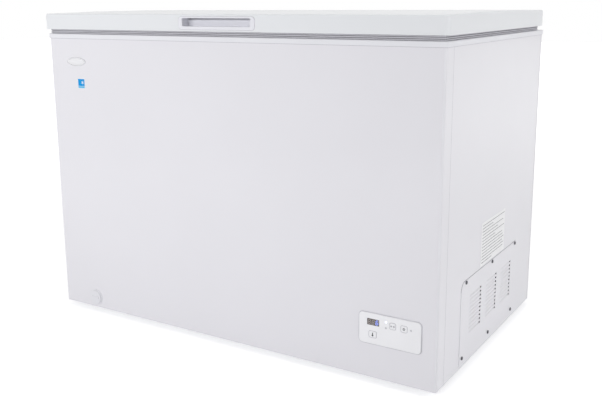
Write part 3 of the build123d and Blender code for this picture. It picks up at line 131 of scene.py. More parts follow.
# Lengths of the label's ruled lines, as shares of the width between its margins
LABEL_LINES = (1.0, 0.47, 0.95, 0.70, 1.0, 0.58, 0.92, 0.95, 1.0, 0.93, 1.0, 0.97, 0.45)
LABEL_LINE = 0.0013  # a line's height
LABEL_MARGIN = 0.006
LABEL_CORNER = 0.003
STICKER_MARGIN = 0.0007
STICKER_STRIP = 0.0052  # height of the pale strip
STAR_REACH = 0.26  # share of the blue field's height
STAR_ARM = 0.03  # share of it too
STAR_SHIFT = 0.0045  # to the right of the field's middle

# Joints that show as thin lines; the bands under the rim, round the pull and along the vent cover are
# painted shade
RIM_HEIGHT = 0.012  # from the rim's lower edge to its top
# height of the band of painted shade under the rim
RIM_SHADE_LINE = 0.0012
WRAP_CORNER = 0.006  # radius of the wall's upright corners
SEAM_WIDTH = 0.0010
SEAM_FRONT = 0.044  # from the cabinet's front face
SEAM_REAR = 0.015  # from its back
BEZEL_CORNER = 0.009  # radius of the pull's corners
# width of the band of painted shade round the pull
BEZEL_SHADE_LINE = 0.0009
BUTTON_NAMES = ("button_mode", "button_power", "button_temperature")
BUTTON_CORNER = 0.003
BUTTON_LAP = 0.0016  # button's flange past its cap
BUTTON_GAP = 0.00035  # from the cap to its printed frame
BUTTON_FRAME = 0.0009
VENT_CORNER = 0.022  # radius of the cover's corners
# width of the line of painted shade along the vent cover
VENT_SHADE_LINE = 0.0012

# Basket
HOOK_REACH = 0.0242  # hook's tip past the basket's wall
BASKET_RIM = 0.0182  # basket's rail below the hook's top
BASKET_CELL = 0.033  # about the distance between wires
RAIL_RADIUS = 0.0027
WIRE_RADIUS = 0.0015
WIRE_BEND = 0.010  # radius of a wire's corner
RAIL_BEND = 0.024  # radius of the rail's corner
WIRE_ROUNDNESS = 4  # bevel steps of a wire
HOOK_INSET = 0.060  # from the basket's end


def linear(red, green, blue):
    """A display colour, 0 to 255, as linear light."""
    shares = [value / 255 for value in (red, green, blue)]
    return tuple(s / 12.92 if s <= 0.04045 else ((s + 0.055) / 1.055) ** 2.4 for s in shares)


def scaled(colour, share):
    """A colour made darker or lighter."""
    return tuple(channel * share for channel in colour)


# Materials

def add_node(tree, kind, inputs=None, **options):
    """A node with its options, its set inputs and its linked inputs."""
    node = tree.nodes.new(kind)
    for option, value in options.items():
        setattr(node, option, value)
    for name, value in (inputs or {}).items():
        if isinstance(value, bpy.types.NodeSocket):
            tree.links.new(value, node.inputs[name])
        else:
            node.inputs[name].default_value = value
    return node


class Surface:
    """A material with one Principled shader, and short calls that give it detail."""

    def __init__(self, name, settings):
        self.material = bpy.data.materials.new(name)
        self.material.use_nodes = True
        self.tree = self.material.node_tree
        self.shader = self.tree.nodes["Principled BSDF"]
        self.normal = None
        for socket, value in settings.items():
            self.shader.inputs[socket].default_value = value
        self.place = self.add("ShaderNodeTexCoord").outputs["Object"]

    def add(self, kind, inputs=None, **options):
        """A node of this material."""
        return add_node(self.tree, kind, inputs, **options)

    def spread(self, size, stretch):
        """The surface's place, scaled so that one unit is a size."""
        scale = [share / size for share in stretch]
        return self.add("ShaderNodeMapping", {"Vector": self.place, "Scale": scale}).outputs[0]

    def noise(self, size, detail=2.0, stretch=(1.0, 1.0, 1.0)):
        """Cloudy noise with lumps of about a size."""
        inputs = {"Vector": self.spread(size, stretch), "Scale": 1.0, "Detail": detail}
        return self.add("ShaderNodeTexNoise", inputs).outputs[0]

    def cells(self, size, output="Distance", feature="F1"):
        """Irregular cells of about a size."""
        inputs = {"Vector": self.spread(size, (1.0, 1.0, 1.0)), "Scale": 1.0}
        return self.add("ShaderNodeTexVoronoi", inputs, feature=feature).outputs[output]

    def colour(self, factor, dark, light, span=NOISE_SPAN):
        """Base colour that runs from dark to light over a span of a factor."""
        ramp = self.add("ShaderNodeValToRGB", {"Fac": factor})
        for element, position, value in zip(ramp.color_ramp.elements, span, (dark, light)):
            element.position = position
            element.color = (*value, 1.0)
        self.tree.links.new(ramp.outputs["Color"], self.shader.inputs["Base Color"])

    def ranged(self, value, source, target, **options):
        """A value carried from one range over to another."""
        inputs = {"Value": value, "From Min": source[0], "From Max": source[1]}
        inputs.update({"To Min": target[0], "To Max": target[1]})
        return self.add("ShaderNodeMapRange", inputs, **options).outputs["Result"]

    def combined(self, operation, *values):
        """One step of arithmetic on numbers and sockets."""
        return self.add("ShaderNodeMath", dict(enumerate(values)), operation=operation).outputs[0]

    def roughness(self, factor, low, high):
        """Roughness that runs from low to high over the middle of a factor."""
        value = self.ranged(factor, NOISE_SPAN, (low, high))
        self.tree.links.new(value, self.shader.inputs["Roughness"])

    def bump(self, height, depth):
        """Relief of a depth."""
        inputs = {"Height": height, "Distance": depth, "Strength": 1.0}
        if self.normal:
            inputs["Normal"] = self.normal
        self.normal = self.add("ShaderNodeBump", inputs).outputs["Normal"]
        self.tree.links.new(self.normal, self.shader.inputs["Normal"])


def enamel(name, colour, roughness=0.33):
    """Gloss paint on sheet steel, faintly cloudy, with fine orange peel."""
    paint = Surface(name, {"Coat Weight": 0.25, "Coat Roughness": 0.08})
    paint.colour(paint.noise(0.30), scaled(colour, 0.99), scaled(colour, 1.005))
    paint.roughness(paint.noise(0.04), roughness - 0.02, roughness + 0.02)
    paint.bump(paint.noise(0.0035), 0.000008)
    return paint.material


def moulded(name, colour, roughness=0.38, grain=0.0007, depth=0.000015):
    """Moulded plastic with a fine eroded grain."""
    plastic = Surface(name, {"Specular IOR Level": 0.45})
    plastic.colour(plastic.noise(0.08), scaled(colour, 0.98), scaled(colour, 1.01))
    plastic.roughness(plastic.noise(0.015), roughness - 0.03, roughness + 0.03)
    plastic.bump(plastic.noise(grain, detail=3.0), depth)
    return plastic.material


def vinyl(name, colour, roughness=0.55):
    """Soft vinyl or rubber with a slight bloom."""
    soft = Surface(name, {"Specular IOR Level": 0.35, "Sheen Weight": 0.15})
    soft.colour(soft.noise(0.05, detail=4.0), scaled(colour, 0.88), scaled(colour, 1.08))
    soft.roughness(soft.noise(0.02), roughness - 0.08, roughness + 0.08)
    soft.bump(soft.noise(0.0012), 0.00003)
    return soft.material


def ribbed(name, colour, node, ribs):
    """Seal vinyl with painted shade in the grooves between its level ribs, over a faint random mottle."""
    seal = Surface(name, {"Specular IOR Level": 0.3, "Sheen Weight": 0.1})
    low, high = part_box(node)
    level = seal.add("ShaderNodeSeparateXYZ", {"Vector": seal.place}).outputs["Z"]
    count = seal.ranged(level, (low.z, high.z), (0.0, ribs), clamp=False)
    rise = seal.combined("PINGPONG", count, 0.5)
    # Painted shade: the colour falls to 45 % of itself at the grooves between the ribs, with a faint random
    # mottle on top
    groove_shade_and_mottle = seal.combined("MULTIPLY_ADD", seal.noise(0.03, detail=4.0), 0.12, rise)
    seal.colour(groove_shade_and_mottle, scaled(colour, 0.45), colour, (0.08, 0.30))
    seal.roughness(seal.noise(0.02), 0.50, 0.65)
    seal.bump(seal.noise(0.0012), 0.00003)
    return seal.material


def galvanised(name):
    """Zinc-coated sheet with its spangle."""
    sheet = Surface(name, {"Metallic": 1.0})
    sheet.colour(sheet.cells(0.012, "Color"), linear(168, 171, 176), linear(200, 203, 207), (0.0, 1.0))
    sheet.roughness(sheet.cells(0.012, "Distance"), 0.32, 0.52)
    sheet.bump(sheet.noise(0.002), 0.00001)
    return sheet.material


def plated(name, colour, roughness=0.34):
    """Pressed or turned steel under zinc plating, with drawing lines and dull spots."""
    steel = Surface(name, {"Metallic": 1.0})
    steel.colour(steel.noise(0.02, detail=4.0), scaled(colour, 0.80), scaled(colour, 1.05))
    steel.roughness(steel.noise(0.004, detail=4.0), roughness - 0.05, roughness + 0.12)
    steel.bump(steel.noise(0.0016, stretch=(0.2, 1.0, 1.0)), 0.00001)
    return steel.material


def stucco(name, colour):
    """Aluminium sheet rolled with a stucco pattern."""
    sheet = Surface(name, {"Metallic": 1.0})
    sheet.colour(sheet.noise(0.05), scaled(colour, 0.90), colour)
    sheet.roughness(sheet.noise(0.01), 0.30, 0.42)
    sheet.bump(sheet.cells(0.0045, feature="SMOOTH_F1"), 0.00035)
    return sheet.material


def foam(name):
    """Rigid foam with open pores."""
    cells = Surface(name, {"Specular IOR Level": 0.15})
    cells.colour(cells.noise(0.01, detail=5.0), linear(214, 190, 132), linear(240, 226, 184))
    cells.roughness(cells.noise(0.004), 0.85, 0.97)
    cells.bump(cells.cells(0.0012), 0.0005)
    return cells.material


def tarnished(name, bright, dull, roughness=0.30):
    """Drawn tube with patches of tarnish."""
    tube = Surface(name, {"Metallic": 1.0})
    tube.colour(tube.noise(0.03, detail=5.0), dull, bright, (0.35, 0.60))
    tube.roughness(tube.noise(0.02, detail=4.0), roughness + 0.15, roughness)
    tube.bump(tube.noise(0.001), 0.00001)
    return tube.material


def cast(name):
    """Rough cast iron."""
    iron = Surface(name, {"Metallic": 0.8})
    iron.colour(iron.noise(0.01, detail=5.0), linear(58, 57, 56), linear(104, 102, 100))
    iron.roughness(iron.noise(0.004), 0.55, 0.75)
    iron.bump(iron.noise(0.0014, detail=5.0), 0.0002)
    return iron.material


def laminate(name):
    """Green circuit board with paler copper lanes under the lacquer."""
    board = Surface(name, {"Coat Weight": 0.5, "Coat Roughness": 0.15})
    lanes = board.cells(0.006, feature="DISTANCE_TO_EDGE")
    board.colour(lanes, linear(76, 140, 84), linear(24, 84, 44), (0.03, 0.06))
    board.roughness(board.noise(0.005), 0.35, 0.50)
    board.bump(lanes, 0.00003)
    return board.material


def smoked(name):
    """Dark glossy window with faint dust."""
    window = Surface(name, {"Coat Weight": 1.0, "Coat Roughness": 0.04})
    window.colour(window.noise(0.004, detail=5.0), linear(78, 72, 74), linear(94, 87, 88))
    window.roughness(window.noise(0.003), 0.10, 0.18)
    window.bump(window.noise(0.006), 0.00001)
    return window.material


def glowing(name, colour, light, strength):
    """Lit plastic, a little uneven."""
    lamp = Surface(name, {"Emission Color": (*light, 1.0), "Emission Strength": strength})
    lamp.colour(lamp.noise(0.0015), scaled(colour, 0.9), colour)
    lamp.roughness(lamp.noise(0.001), 0.30, 0.40)
    lamp.bump(lamp.noise(0.0008), 0.00001)
    return lamp.material


def ink(name, colour):
    """Flat colour for printed ink and for bands of painted shade, with a slightly broken edge to its tone.
    """
    mark = Surface(name, {"Specular IOR Level": 0.3})
    mark.colour(mark.noise(0.0012, detail=4.0), scaled(colour, 0.9), scaled(colour, 1.12))
    mark.roughness(mark.noise(0.001), 0.45, 0.60)
    mark.bump(mark.noise(0.0005), 0.000005)
    return mark.material


def chrome(name, colour, roughness):
    """Bright plating with a fine haze."""
    plate = Surface(name, {"Metallic": 1.0})
    plate.colour(plate.noise(0.01), scaled(colour, 0.94), colour)
    plate.roughness(plate.noise(0.003, detail=4.0), roughness - 0.04, roughness + 0.05)
    plate.bump(plate.noise(0.002), 0.000004)
    return plate.material


CASE_WHITE = linear(230, 229, 234)
LID_WHITE = linear(230, 232, 235)
PLASTIC_WHITE = linear(233, 233, 238)
BLACK = linear(34, 34, 36)
# Each slot's recipe, with the values that follow the name
RECIPES = {
    "case_paint": (enamel, CASE_WHITE),
    "lid_paint": (enamel, LID_WHITE),
    "galvanised_steel": (galvanised,),
    "hinge_steel": (plated, linear(202, 204, 208)),
    "spring_steel": (plated, linear(150, 152, 156)),
    "screw_steel": (plated, linear(92, 92, 97)),
    "insulation_foam": (foam,),
    "tub_aluminium": (stucco, linear(226, 228, 232)),
    "rim_plastic": (moulded, PLASTIC_WHITE, 0.32),
    "lid_liner_plastic": (moulded, PLASTIC_WHITE, 0.34),
    # Seal grey; its recipe paints shade into the grooves between the ribs
    "seal_vinyl": (ribbed, linear(206, 205, 211), "lid_gasket", SEAL_RIBS),
    "pull_plastic": (moulded, linear(233, 233, 239), 0.33),
    "fascia_plastic": (moulded, linear(244, 244, 247), 0.33),
    "panel_seal_rubber": (vinyl, linear(206, 205, 211)),
    "display_plastic": (smoked,),
    "lens_plastic": (moulded, linear(212, 212, 217), 0.22, 0.0004),
    "button_plastic": (moulded, linear(244, 244, 247), 0.33),
    "board_laminate": (laminate,),
    "electronic_plastic": (moulded, BLACK, 0.40),
    "housing_plastic": (moulded, linear(222, 222, 226), 0.50),
    "cable_rubber": (vinyl, linear(44, 44, 47)),
    "badge_chrome": (chrome, linear(214, 214, 217), 0.18),
    "drain_plastic": (moulded, linear(229, 229, 234), 0.34),
    "drain_hose": (moulded, linear(205, 206, 210), 0.55, 0.0012),
    "compressor_paint": (enamel, BLACK, 0.31),
    "motor_iron": (cast,),
    "mount_rubber": (vinyl, linear(40, 40, 42), 0.70),
    "copper_tube": (tarnished, linear(214, 138, 98), linear(138, 84, 62)),
    "coil_steel": (enamel, linear(58, 58, 61), 0.40),
    "coil_aluminium": (tarnished, linear(214, 216, 220), linear(176, 178, 182)),
    "basket_coating": (moulded, linear(238, 238, 240), 0.33, 0.0018, 0.00003),
    "foot_plastic": (moulded, linear(54, 54, 57), 0.55),
}
FINISHES = {name: recipe(name, *values) for name, (recipe, *values) in RECIPES.items()}
DIM_SEGMENT = ink("dim_segment", linear(172, 163, 158))
LIT_SEGMENT = glowing("lit_segment", linear(140, 158, 240), linear(138, 158, 255), 1.1)
LIT_LENS = glowing("lit_lens", linear(235, 240, 255), linear(214, 226, 255), 1.2)
# Pale grey for printed frames and seams, and for the bands of painted shade under the rim and round the
# pull
PALE_PRINT_AND_SHADE = ink("pale_ink", linear(196, 195, 201))
GREY_INK = ink("grey_ink", linear(124, 124, 130))
DARK_INK = ink("dark_ink", linear(74, 74, 80))
# Grey for the printed frost mark, and for the line of painted shade along the vent cover
MARK_PRINT_AND_SHADE = ink("mark_ink", linear(152, 152, 158))
STICKER_WHITE = moulded("sticker_white", linear(244, 244, 244), 0.42, 0.0006)
STICKER_BLUE = ink("sticker_blue", linear(0, 150, 220))
STICKER_PALE = ink("sticker_pale", linear(100, 186, 228))
LABEL_PAPER = moulded("label_paper", linear(248, 248, 249), 0.48, 0.0005)
BADGE_FIELD = moulded("badge_field", linear(236, 236, 239), 0.35, 0.0005)


def dress_nodes():
    """Gives each node of the frame the finish of its slot."""
    for part in frame["record"]["subparts"]:
        materials = frame["nodes"][part["node"]].data.materials
        materials.clear()
        materials.append(FINISHES[part["material_slot"]])


# Pieces and flat outlines

def piece(name, mesh, body, materials):
    """A new piece that rides on a body and takes the given materials."""
    shown = bpy.data.objects.new(name, mesh)
    bpy.context.scene.collection.objects.link(shown)
    for material in materials:
        mesh.materials.append(material)
    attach(shown, body)
    return shown


def to_mesh(name, shape, smooth):
    """A finished mesh from a working shape."""
    bmesh.ops.recalc_face_normals(shape, faces=shape.faces)
    mesh = bpy.data.meshes.new(name)
    shape.to_mesh(mesh)
    shape.free()
    for polygon in mesh.polygons:
        polygon.use_smooth = smooth
    return mesh


def on_front(face):
    """Places a point drawn in X and Z on a front face, a way out from it."""
    return lambda across, up, out: (across, face - out, up)


def on_right(face):
    """Places a point drawn in Y and Z on a right face, a way out from it."""
    return lambda across, up, out: (face + out, across, up)


def on_left(face):
    """Places a point drawn in Y and Z on a left face, a way out from it."""
    return lambda across, up, out: (face - out, across, up)


def on_level(level):
    """Places a point drawn in X and Y at a level, a way up from it."""
    return lambda across, along, out: (across, along, level + out)


def from_middle(middle, face):
    """Places a point drawn from a middle in X and Z on a front face, a way out from it."""
    return lambda across, up, out: (middle[0] + across, face - out, middle[1] + up)


def prints(name, outlines, place, thickness):
    """Flat shapes on a face, standing a little proud of it and sunk as much into it."""
    shape = bmesh.new()
    for outline in outlines:
        top = [shape.verts.new(place(across, up, thickness)) for across, up in outline]
        root = [shape.verts.new(place(across, up, -thickness)) for across, up in outline]
        shape.faces.new(top)
        shape.faces.new(root[::-1])
        for here in range(len(outline)):
            after = (here + 1) % len(outline)
            shape.faces.new((top[here], top[after], root[after], root[here]))
    return to_mesh(name, shape, False)


def printed(name, outlines, place, material, body="cabinet", thickness=PRINT):
    """Flat shapes on a face, as a piece of their own."""
    return piece(name, prints(name, outlines, place, thickness), body, [material])


def bands(name, rings, place, thickness):
    """Flat bands between pairs of outlines on a face, as far proud of it as sunk into it."""
    shape = bmesh.new()
    for outer, inner in rings:
        loops = []
        for outline, side in ((outer, 1), (inner, 1), (inner, -1), (outer, -1)):
            loops.append([shape.verts.new(place(across, up, side * thickness)) for across, up in outline])
        for loop, following in zip(loops, loops[1:] + loops[:1]):
            for here in range(len(outer)):
                after = (here + 1) % len(outer)
                shape.faces.new((loop[here], loop[after], following[after], following[here]))
    return to_mesh(name, shape, False)


def moved(outline, across, up):
    """An outline at another place."""
    return [(x + across, z + up) for x, z in outline]


def arc(middle, radius, start, end, steps):
    """Points along a circle between two angles in degrees."""
    angles = [math.radians(start + (end - start) * step / steps) for step in range(steps + 1)]
    return [(middle[0] + radius * math.cos(a), middle[1] + radius * math.sin(a)) for a in angles]


def rounded_box(middle, size, radius):
    """A rectangle with rounded corners."""
    half_x, half_z = size[0] / 2 - radius, size[1] / 2 - radius
    points = []
    for quarter, (side_x, side_z) in enumerate(((1, 1), (-1, 1), (-1, -1), (1, -1))):
        corner = (middle[0] + side_x * half_x, middle[1] + side_z * half_z)
        points += arc(corner, radius, 90 * quarter, 90 * quarter + 90, ROUND_STEPS)
    return points


def bar(middle, width, height):
    """A plain rectangle."""
    x, z = width / 2, height / 2
    return moved([(-x, -z), (x, -z), (x, z), (-x, z)], *middle)


def flake(middle, reach, half_width):
    """A six-armed star of even bars."""
    points = []
    for arm in range(6):
        angle = math.radians(60 * arm + 30)
        along = (math.cos(angle), math.sin(angle))
        for side in (-1, 1):
            x = along[0] * reach - side * along[1] * half_width
            z = along[1] * reach + side * along[0] * half_width
            points.append((middle[0] + x, middle[1] + z))
        between = angle + math.radians(30)
        inner = 2 * half_width
        points.append((middle[0] + inner * math.cos(between), middle[1] + inner * math.sin(between)))
    return points


def thermometer(middle, height, bulb, stem):
    """A thermometer's outline: a bulb below and a round-ended stem."""
    foot = (middle[0], middle[1] - height / 2 + bulb)
    head = (middle[0], middle[1] + height / 2 - stem)
    gap = math.degrees(math.asin(stem / bulb))
    return arc(foot, bulb, 90 + gap, 450 - gap, 3 * ROUND_STEPS) + arc(head, stem, 0, 180, ROUND_STEPS)


def open_ring(middle, radius, stroke, gap):
    """A ring that is open at the top by a gap in degrees."""
    outer = arc(middle, radius, 90 + gap, 450 - gap, 3 * ROUND_STEPS)
    inner = arc(middle, radius - stroke, 450 - gap, 90 + gap, 3 * ROUND_STEPS)
    return outer + inner


def middle_of(node):
    """X and Z of a node's middle, and the Y of its front face."""
    low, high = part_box(node)
    return ((low.x + high.x) / 2, (low.z + high.z) / 2), low.y


# Display

def segment(across, up, length, standing):
    """One bar of a digit, pointed at both ends."""
    half, thick = length / 2, DIGIT_STROKE / 2
    line = [
        (-half, 0), (-half + thick, -thick), (half - thick, -thick),
        (half, 0), (half - thick, thick), (-half + thick, thick),
    ]
    if standing:
        line = [(-z, x) for x, z in line]
    return moved(line, across, up)


def digit_segments(middle):
    """The seven bars of a leaning digit, by letter."""
    side, level = DIGIT_WIDTH / 2, DIGIT_HEIGHT / 2
    flat = DIGIT_WIDTH - 2 * DIGIT_GAP
    tall = level - 2 * DIGIT_GAP
    bars = {
        "a": segment(0, level, flat, False),
        "g": segment(0, 0, flat, False),
        "d": segment(0, -level, flat, False),
        "f": segment(-side, level / 2, tall, True),
        "b": segment(side, level / 2, tall, True),
        "e": segment(-side, -level / 2, tall, True),
        "c": segment(side, -level / 2, tall, True),
    }
    return {key: moved([(x + DIGIT_SLANT * z, z) for x, z in line], *middle) for key, line in bars.items()}


def make_display():
    """Dark and lit bars of the digits, on the window's face."""
    (across, up), face = middle_of("display_window")
    lit, dim = [], []
    for number, value in enumerate(DIGITS):
        shift = (number - (len(DIGITS) - 1) / 2) * DIGIT_PITCH
        glow = LIT_SEGMENTS.get(value, "")
        for key, line in digit_segments((across + shift, up)).items():
            group = lit if key in glow else dim
            group.append(line)
    for name, lines, material in (("digits_dim", dim, DIM_SEGMENT), ("digits_lit", lit, LIT_SEGMENT)):
        printed(name, lines, on_front(face), material)


# Thin lines round the pull, the buttons, the vent cover and the cabinet; those round the pull, along the
# vent cover and under the rim are painted shade

def outline_pair(node, gap, corner, width):
    """Outer and inner outline of a band that runs round a node with rounded corners."""
    low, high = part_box(node)
    middle, _ = middle_of(node)
    pair = []
    for reach in (gap + width, gap):
        size = (high.x - low.x + 2 * reach, high.z - low.z + 2 * reach)
        pair.append(rounded_box(middle, size, corner + reach))
    return pair


def make_bezel_shade_line():
    """Painted shade of the gap round the pull's bezel, as a pale grey band."""
    ring = outline_pair("handle_pull", 0.0, BEZEL_CORNER, BEZEL_SHADE_LINE)
    mesh = bands("bezel_joint", [ring], on_front(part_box("lid_skin")[0].y), PRINT)
    piece("bezel_joint", mesh, "lid", [PALE_PRINT_AND_SHADE])


def make_button_frames():
    """Printed frames round the buttons."""
    gap = BUTTON_GAP - BUTTON_LAP
    corner = BUTTON_CORNER + BUTTON_LAP
    rings = [outline_pair(name, gap, corner, BUTTON_FRAME) for name in BUTTON_NAMES]
    mesh = bands("button_frames", rings, on_front(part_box("control_fascia")[0].y), PRINT)
    piece("button_frames", mesh, "cabinet", [PALE_PRINT_AND_SHADE])


def make_vent_shade_line():
    """Painted shade along the vent cover's upper edge and round its front corner, as a grey line."""
    low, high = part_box("vent_cover")
    middle = (low.y + VENT_CORNER, high.z - VENT_CORNER)
    outer = arc(middle, VENT_CORNER + VENT_SHADE_LINE, 180, 90, ROUND_STEPS)
    inner = arc(middle, VENT_CORNER, 90, 180, ROUND_STEPS)
    rear = high.y - VENT_CORNER
    line = outer + [(rear, high.z + VENT_SHADE_LINE), (rear, high.z)] + inner
    printed("vent_joint", [line], on_right(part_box("cabinet_wrap")[1].x), MARK_PRINT_AND_SHADE)


def front_run(low, high, reach):
    """Plan of a line round the cabinet's sides and front, a reach out from its wall."""
    radius = WRAP_CORNER + reach
    front, rear = low.y + WRAP_CORNER, high.y - WRAP_CORNER
    right = [(high.x + reach, rear)] + arc((high.x - WRAP_CORNER, front), radius, 0, -90, ROUND_STEPS)
    left = arc((low.x + WRAP_CORNER, front), radius, -90, -180, ROUND_STEPS) + [(low.x - reach, rear)]
    return right + left


def make_rim_shade_and_seams():
    """Painted shade under the rim, as a pale grey band, and the upright seams near the front and back of
    the cabinet's sides.
    """
    low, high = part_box("cabinet_wrap")
    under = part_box("top_rim")[1].z - RIM_HEIGHT
    # A pale grey band just under the proud rim: painted shade
    line = front_run(low, high, PRINT) + front_run(low, high, -PRINT)[::-1]
    printed("rim_joint", [line], on_level(under - RIM_SHADE_LINE / 2), PALE_PRINT_AND_SHADE, thickness=RIM_SHADE_LINE / 2)
    top = under - RIM_SHADE_LINE
    spots = (low.y + SEAM_FRONT, high.y - SEAM_REAR)
    seams = [bar((y, (low.z + top) / 2), SEAM_WIDTH, top - low.z) for y in spots]
    for name, face in (("seams_right", on_right(high.x)), ("seams_left", on_left(low.x))):
        printed(name, seams, face, PALE_PRINT_AND_SHADE)


# Marks on the buttons

def power_mark(middle):
    """A ring that is open at the top, and a bar in its gap."""
    ring = open_ring(middle, POWER_RADIUS, POWER_STROKE, POWER_OPENING)
    return [ring, bar((middle[0], middle[1] + POWER_BAR_RISE), *POWER_BAR)]


def temperature_mark(middle):
    """A thermometer."""
    return [thermometer(middle, THERMOMETER_HEIGHT, THERMOMETER_BULB, THERMOMETER_STEM)]


def mode_mark(middle):
    """Two stars of frost side by side."""
    spots = [(middle[0] + side * FLAKE_SPREAD, middle[1]) for side in (-1, 1)]
    return [flake(spot, FLAKE_REACH, FLAKE_ARM) for spot in spots]


def make_marks():
    """One printed mark on each button."""
    marks = {
        "power": (power_mark, DARK_INK),
        "temperature": (temperature_mark, DARK_INK),
        "mode": (mode_mark, MARK_PRINT_AND_SHADE),
    }
    for name, (draw, material) in marks.items():
        button = "button_" + name
        middle, face = middle_of(button)
        printed("mark_" + name, draw(middle), on_front(face), material, button)


# Ovals

def oval_stack(name, place, half_width, half_height, profile):
    """Rings of an oval from its foot to its middle: each has an inset, a rise and a material number."""
    shape = bmesh.new()
    angles = [2 * math.pi * step / OVAL_STEPS for step in range(OVAL_STEPS)]
    rings = []
    for inset, rise, _ in profile:
        wide, high = half_width - inset, half_height - inset
        rings.append([shape.verts.new(place(wide * math.cos(a), high * math.sin(a), rise)) for a in angles])
    for ring, following, (_, _, number) in zip(rings, rings[1:], profile[1:]):
        for here in range(OVAL_STEPS):
            after = (here + 1) % OVAL_STEPS
            face = shape.faces.new((ring[here], ring[after], following[after], following[here]))
            face.material_index = number
    shape.faces.new(rings[0])
    shape.faces.new(rings[-1]).material_index = profile[-1][2]
    return to_mesh(name, shape, True)


def make_badge():
    """Blank oval badge: a rounded metal edge round a paler field."""
    low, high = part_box("badge_plate")
    middle = (low + high) / 2
    foot = high.y - low.y - BADGE_SINK
    profile = [(0.0, 0.0, 0)]
    for step in range(BEAD_STEPS + 1):
        angle = math.pi * step / BEAD_STEPS
        inset = BADGE_EDGE / 2 * (1 - math.cos(angle))
        profile.append((inset, foot + BADGE_SINK * math.sin(angle), 0))
    profile.append((BADGE_MIDDLE, foot + BADGE_SWELL, 1))
    place = from_middle((middle.x, middle.z), high.y)
    mesh = oval_stack("badge_oval", place, (high.x - low.x) / 2, (high.z - low.z) / 2, profile)
    oval = piece("badge_oval", mesh, "cabinet", [FINISHES["badge_chrome"], BADGE_FIELD])
    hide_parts("badge_plate")


def make_lenses():
    """Domed ends of the three light pipes; one is lit."""
    (across, up), face = middle_of("control_fascia")
    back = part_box("indicator_lenses")[1].y
    shoulder = back - face - LENS_SINK
    profile = [(0.0, 0.0, 0)]
    for step in range(LENS_STEPS):
        angle = math.pi / 2 * step / LENS_STEPS
        inset = LENS_RADIUS * (1 - math.cos(angle))
        profile.append((inset, shoulder + LENS_DOME * math.sin(angle), 0))
    for name, (shift, lit) in LENSES.items():
        place = from_middle((across + shift[0], up + shift[1]), back)
        mesh = oval_stack(name, place, LENS_RADIUS, LENS_RADIUS, profile)
        material = LIT_LENS if lit else FINISHES["lens_plastic"]
        lens = piece(name, mesh, "cabinet", [material])
        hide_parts("indicator_lenses")


# Stickers

def make_front_sticker():
    """Small generic sticker: a white ground, a blue field with a star of frost, and a pale strip."""
    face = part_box("cabinet_wrap")[0].y
    (x, z), (width, height) = FRONT_STICKER
    ground = [bar((x, z), width, height)]
    printed("sticker_ground", ground, on_front(face), STICKER_WHITE, thickness=STICKER)
    inner = width - 2 * STICKER_MARGIN
    foot = z - height / 2 + STICKER_MARGIN
    above = foot + STICKER_STRIP + STICKER_MARGIN
    field_height = z + height / 2 - STICKER_MARGIN - above
    field_z = above + field_height / 2
    field = [bar((x, field_z), inner, field_height)]
    strip = [bar((x, foot + STICKER_STRIP / 2), inner, STICKER_STRIP)]
    star = [flake((x + STAR_SHIFT, field_z), STAR_REACH * field_height, STAR_ARM * field_height)]
    proud = on_front(face - STICKER)
    printed("sticker_field", field, proud, STICKER_BLUE)
    printed("sticker_strip", strip, proud, STICKER_PALE)
    printed("sticker_star", star, on_front(face - STICKER - PRINT), STICKER_WHITE)


def make_side_label():
    """Plain label with ruled lines above the vent cover."""
    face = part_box("cabinet_wrap")[1].x
    (y, z), (width, height) = SIDE_LABEL
    outline = rounded_box((y, z), (width, height), LABEL_CORNER)
    printed("side_label", [outline], on_right(face), LABEL_PAPER, thickness=STICKER)
    pitch = height / (len(LABEL_LINES) + 1)
    room = width - 2 * LABEL_MARGIN
    lines = []
    for number, share in enumerate(LABEL_LINES):
        level = z + height / 2 - (number + 1) * pitch
        lines.append(bar((y - room / 2 + room * share / 2, level), room * share, LABEL_LINE))
    printed("side_label_lines", lines, on_right(face + STICKER), GREY_INK)


# Basket

def rounded_run(points, radius, closed):
    """A wire's path with its square corners rounded."""
    path = []
    count = len(points)
    for number, point in enumerate(points):
        if not closed and number in (0, count - 1):
            path.append(point)
            continue
        to_last = (points[number - 1] - point).normalized()
        to_next = (points[(number + 1) % count] - point).normalized()
        centre = point + (to_last + to_next) * radius
        for step in range(ROUND_STEPS + 1):
            angle = math.pi / 2 * step / ROUND_STEPS
            path.append(centre - to_next * radius * math.cos(angle) - to_last * radius * math.sin(angle))
    return path


def wire_mesh(name, runs):
    """Round wires: each run has a path, a radius and whether it closes."""
    curve = bpy.data.curves.new(name, "CURVE")
    curve.dimensions = "3D"
    curve.bevel_depth = 1.0  # so that a point's radius is the wire's own
    curve.bevel_resolution = WIRE_ROUNDNESS
    curve.use_fill_caps = True
    for path, radius, closed in runs:
        spline = curve.splines.new("POLY")
        spline.points.add(len(path) - 1)
        spline.use_cyclic_u = closed
        for spot, place in zip(spline.points, path):
            spot.co = (*place, 1.0)
            spot.radius = radius
    holder = bpy.data.objects.new(name, curve)
    bpy.context.scene.collection.objects.link(holder)
    mesh = bpy.data.meshes.new_from_object(holder.evaluated_get(bpy.context.evaluated_depsgraph_get()))
    bpy.data.objects.remove(holder)
    for polygon in mesh.polygons:
        polygon.use_smooth = True
    return mesh


def spaced(low, high, margin):
    """Even places of wires between two ends."""
    first, last = low + margin, high - margin
    count = round((last - first) / BASKET_CELL)
    return [first + (last - first) * number / count for number in range(count + 1)]


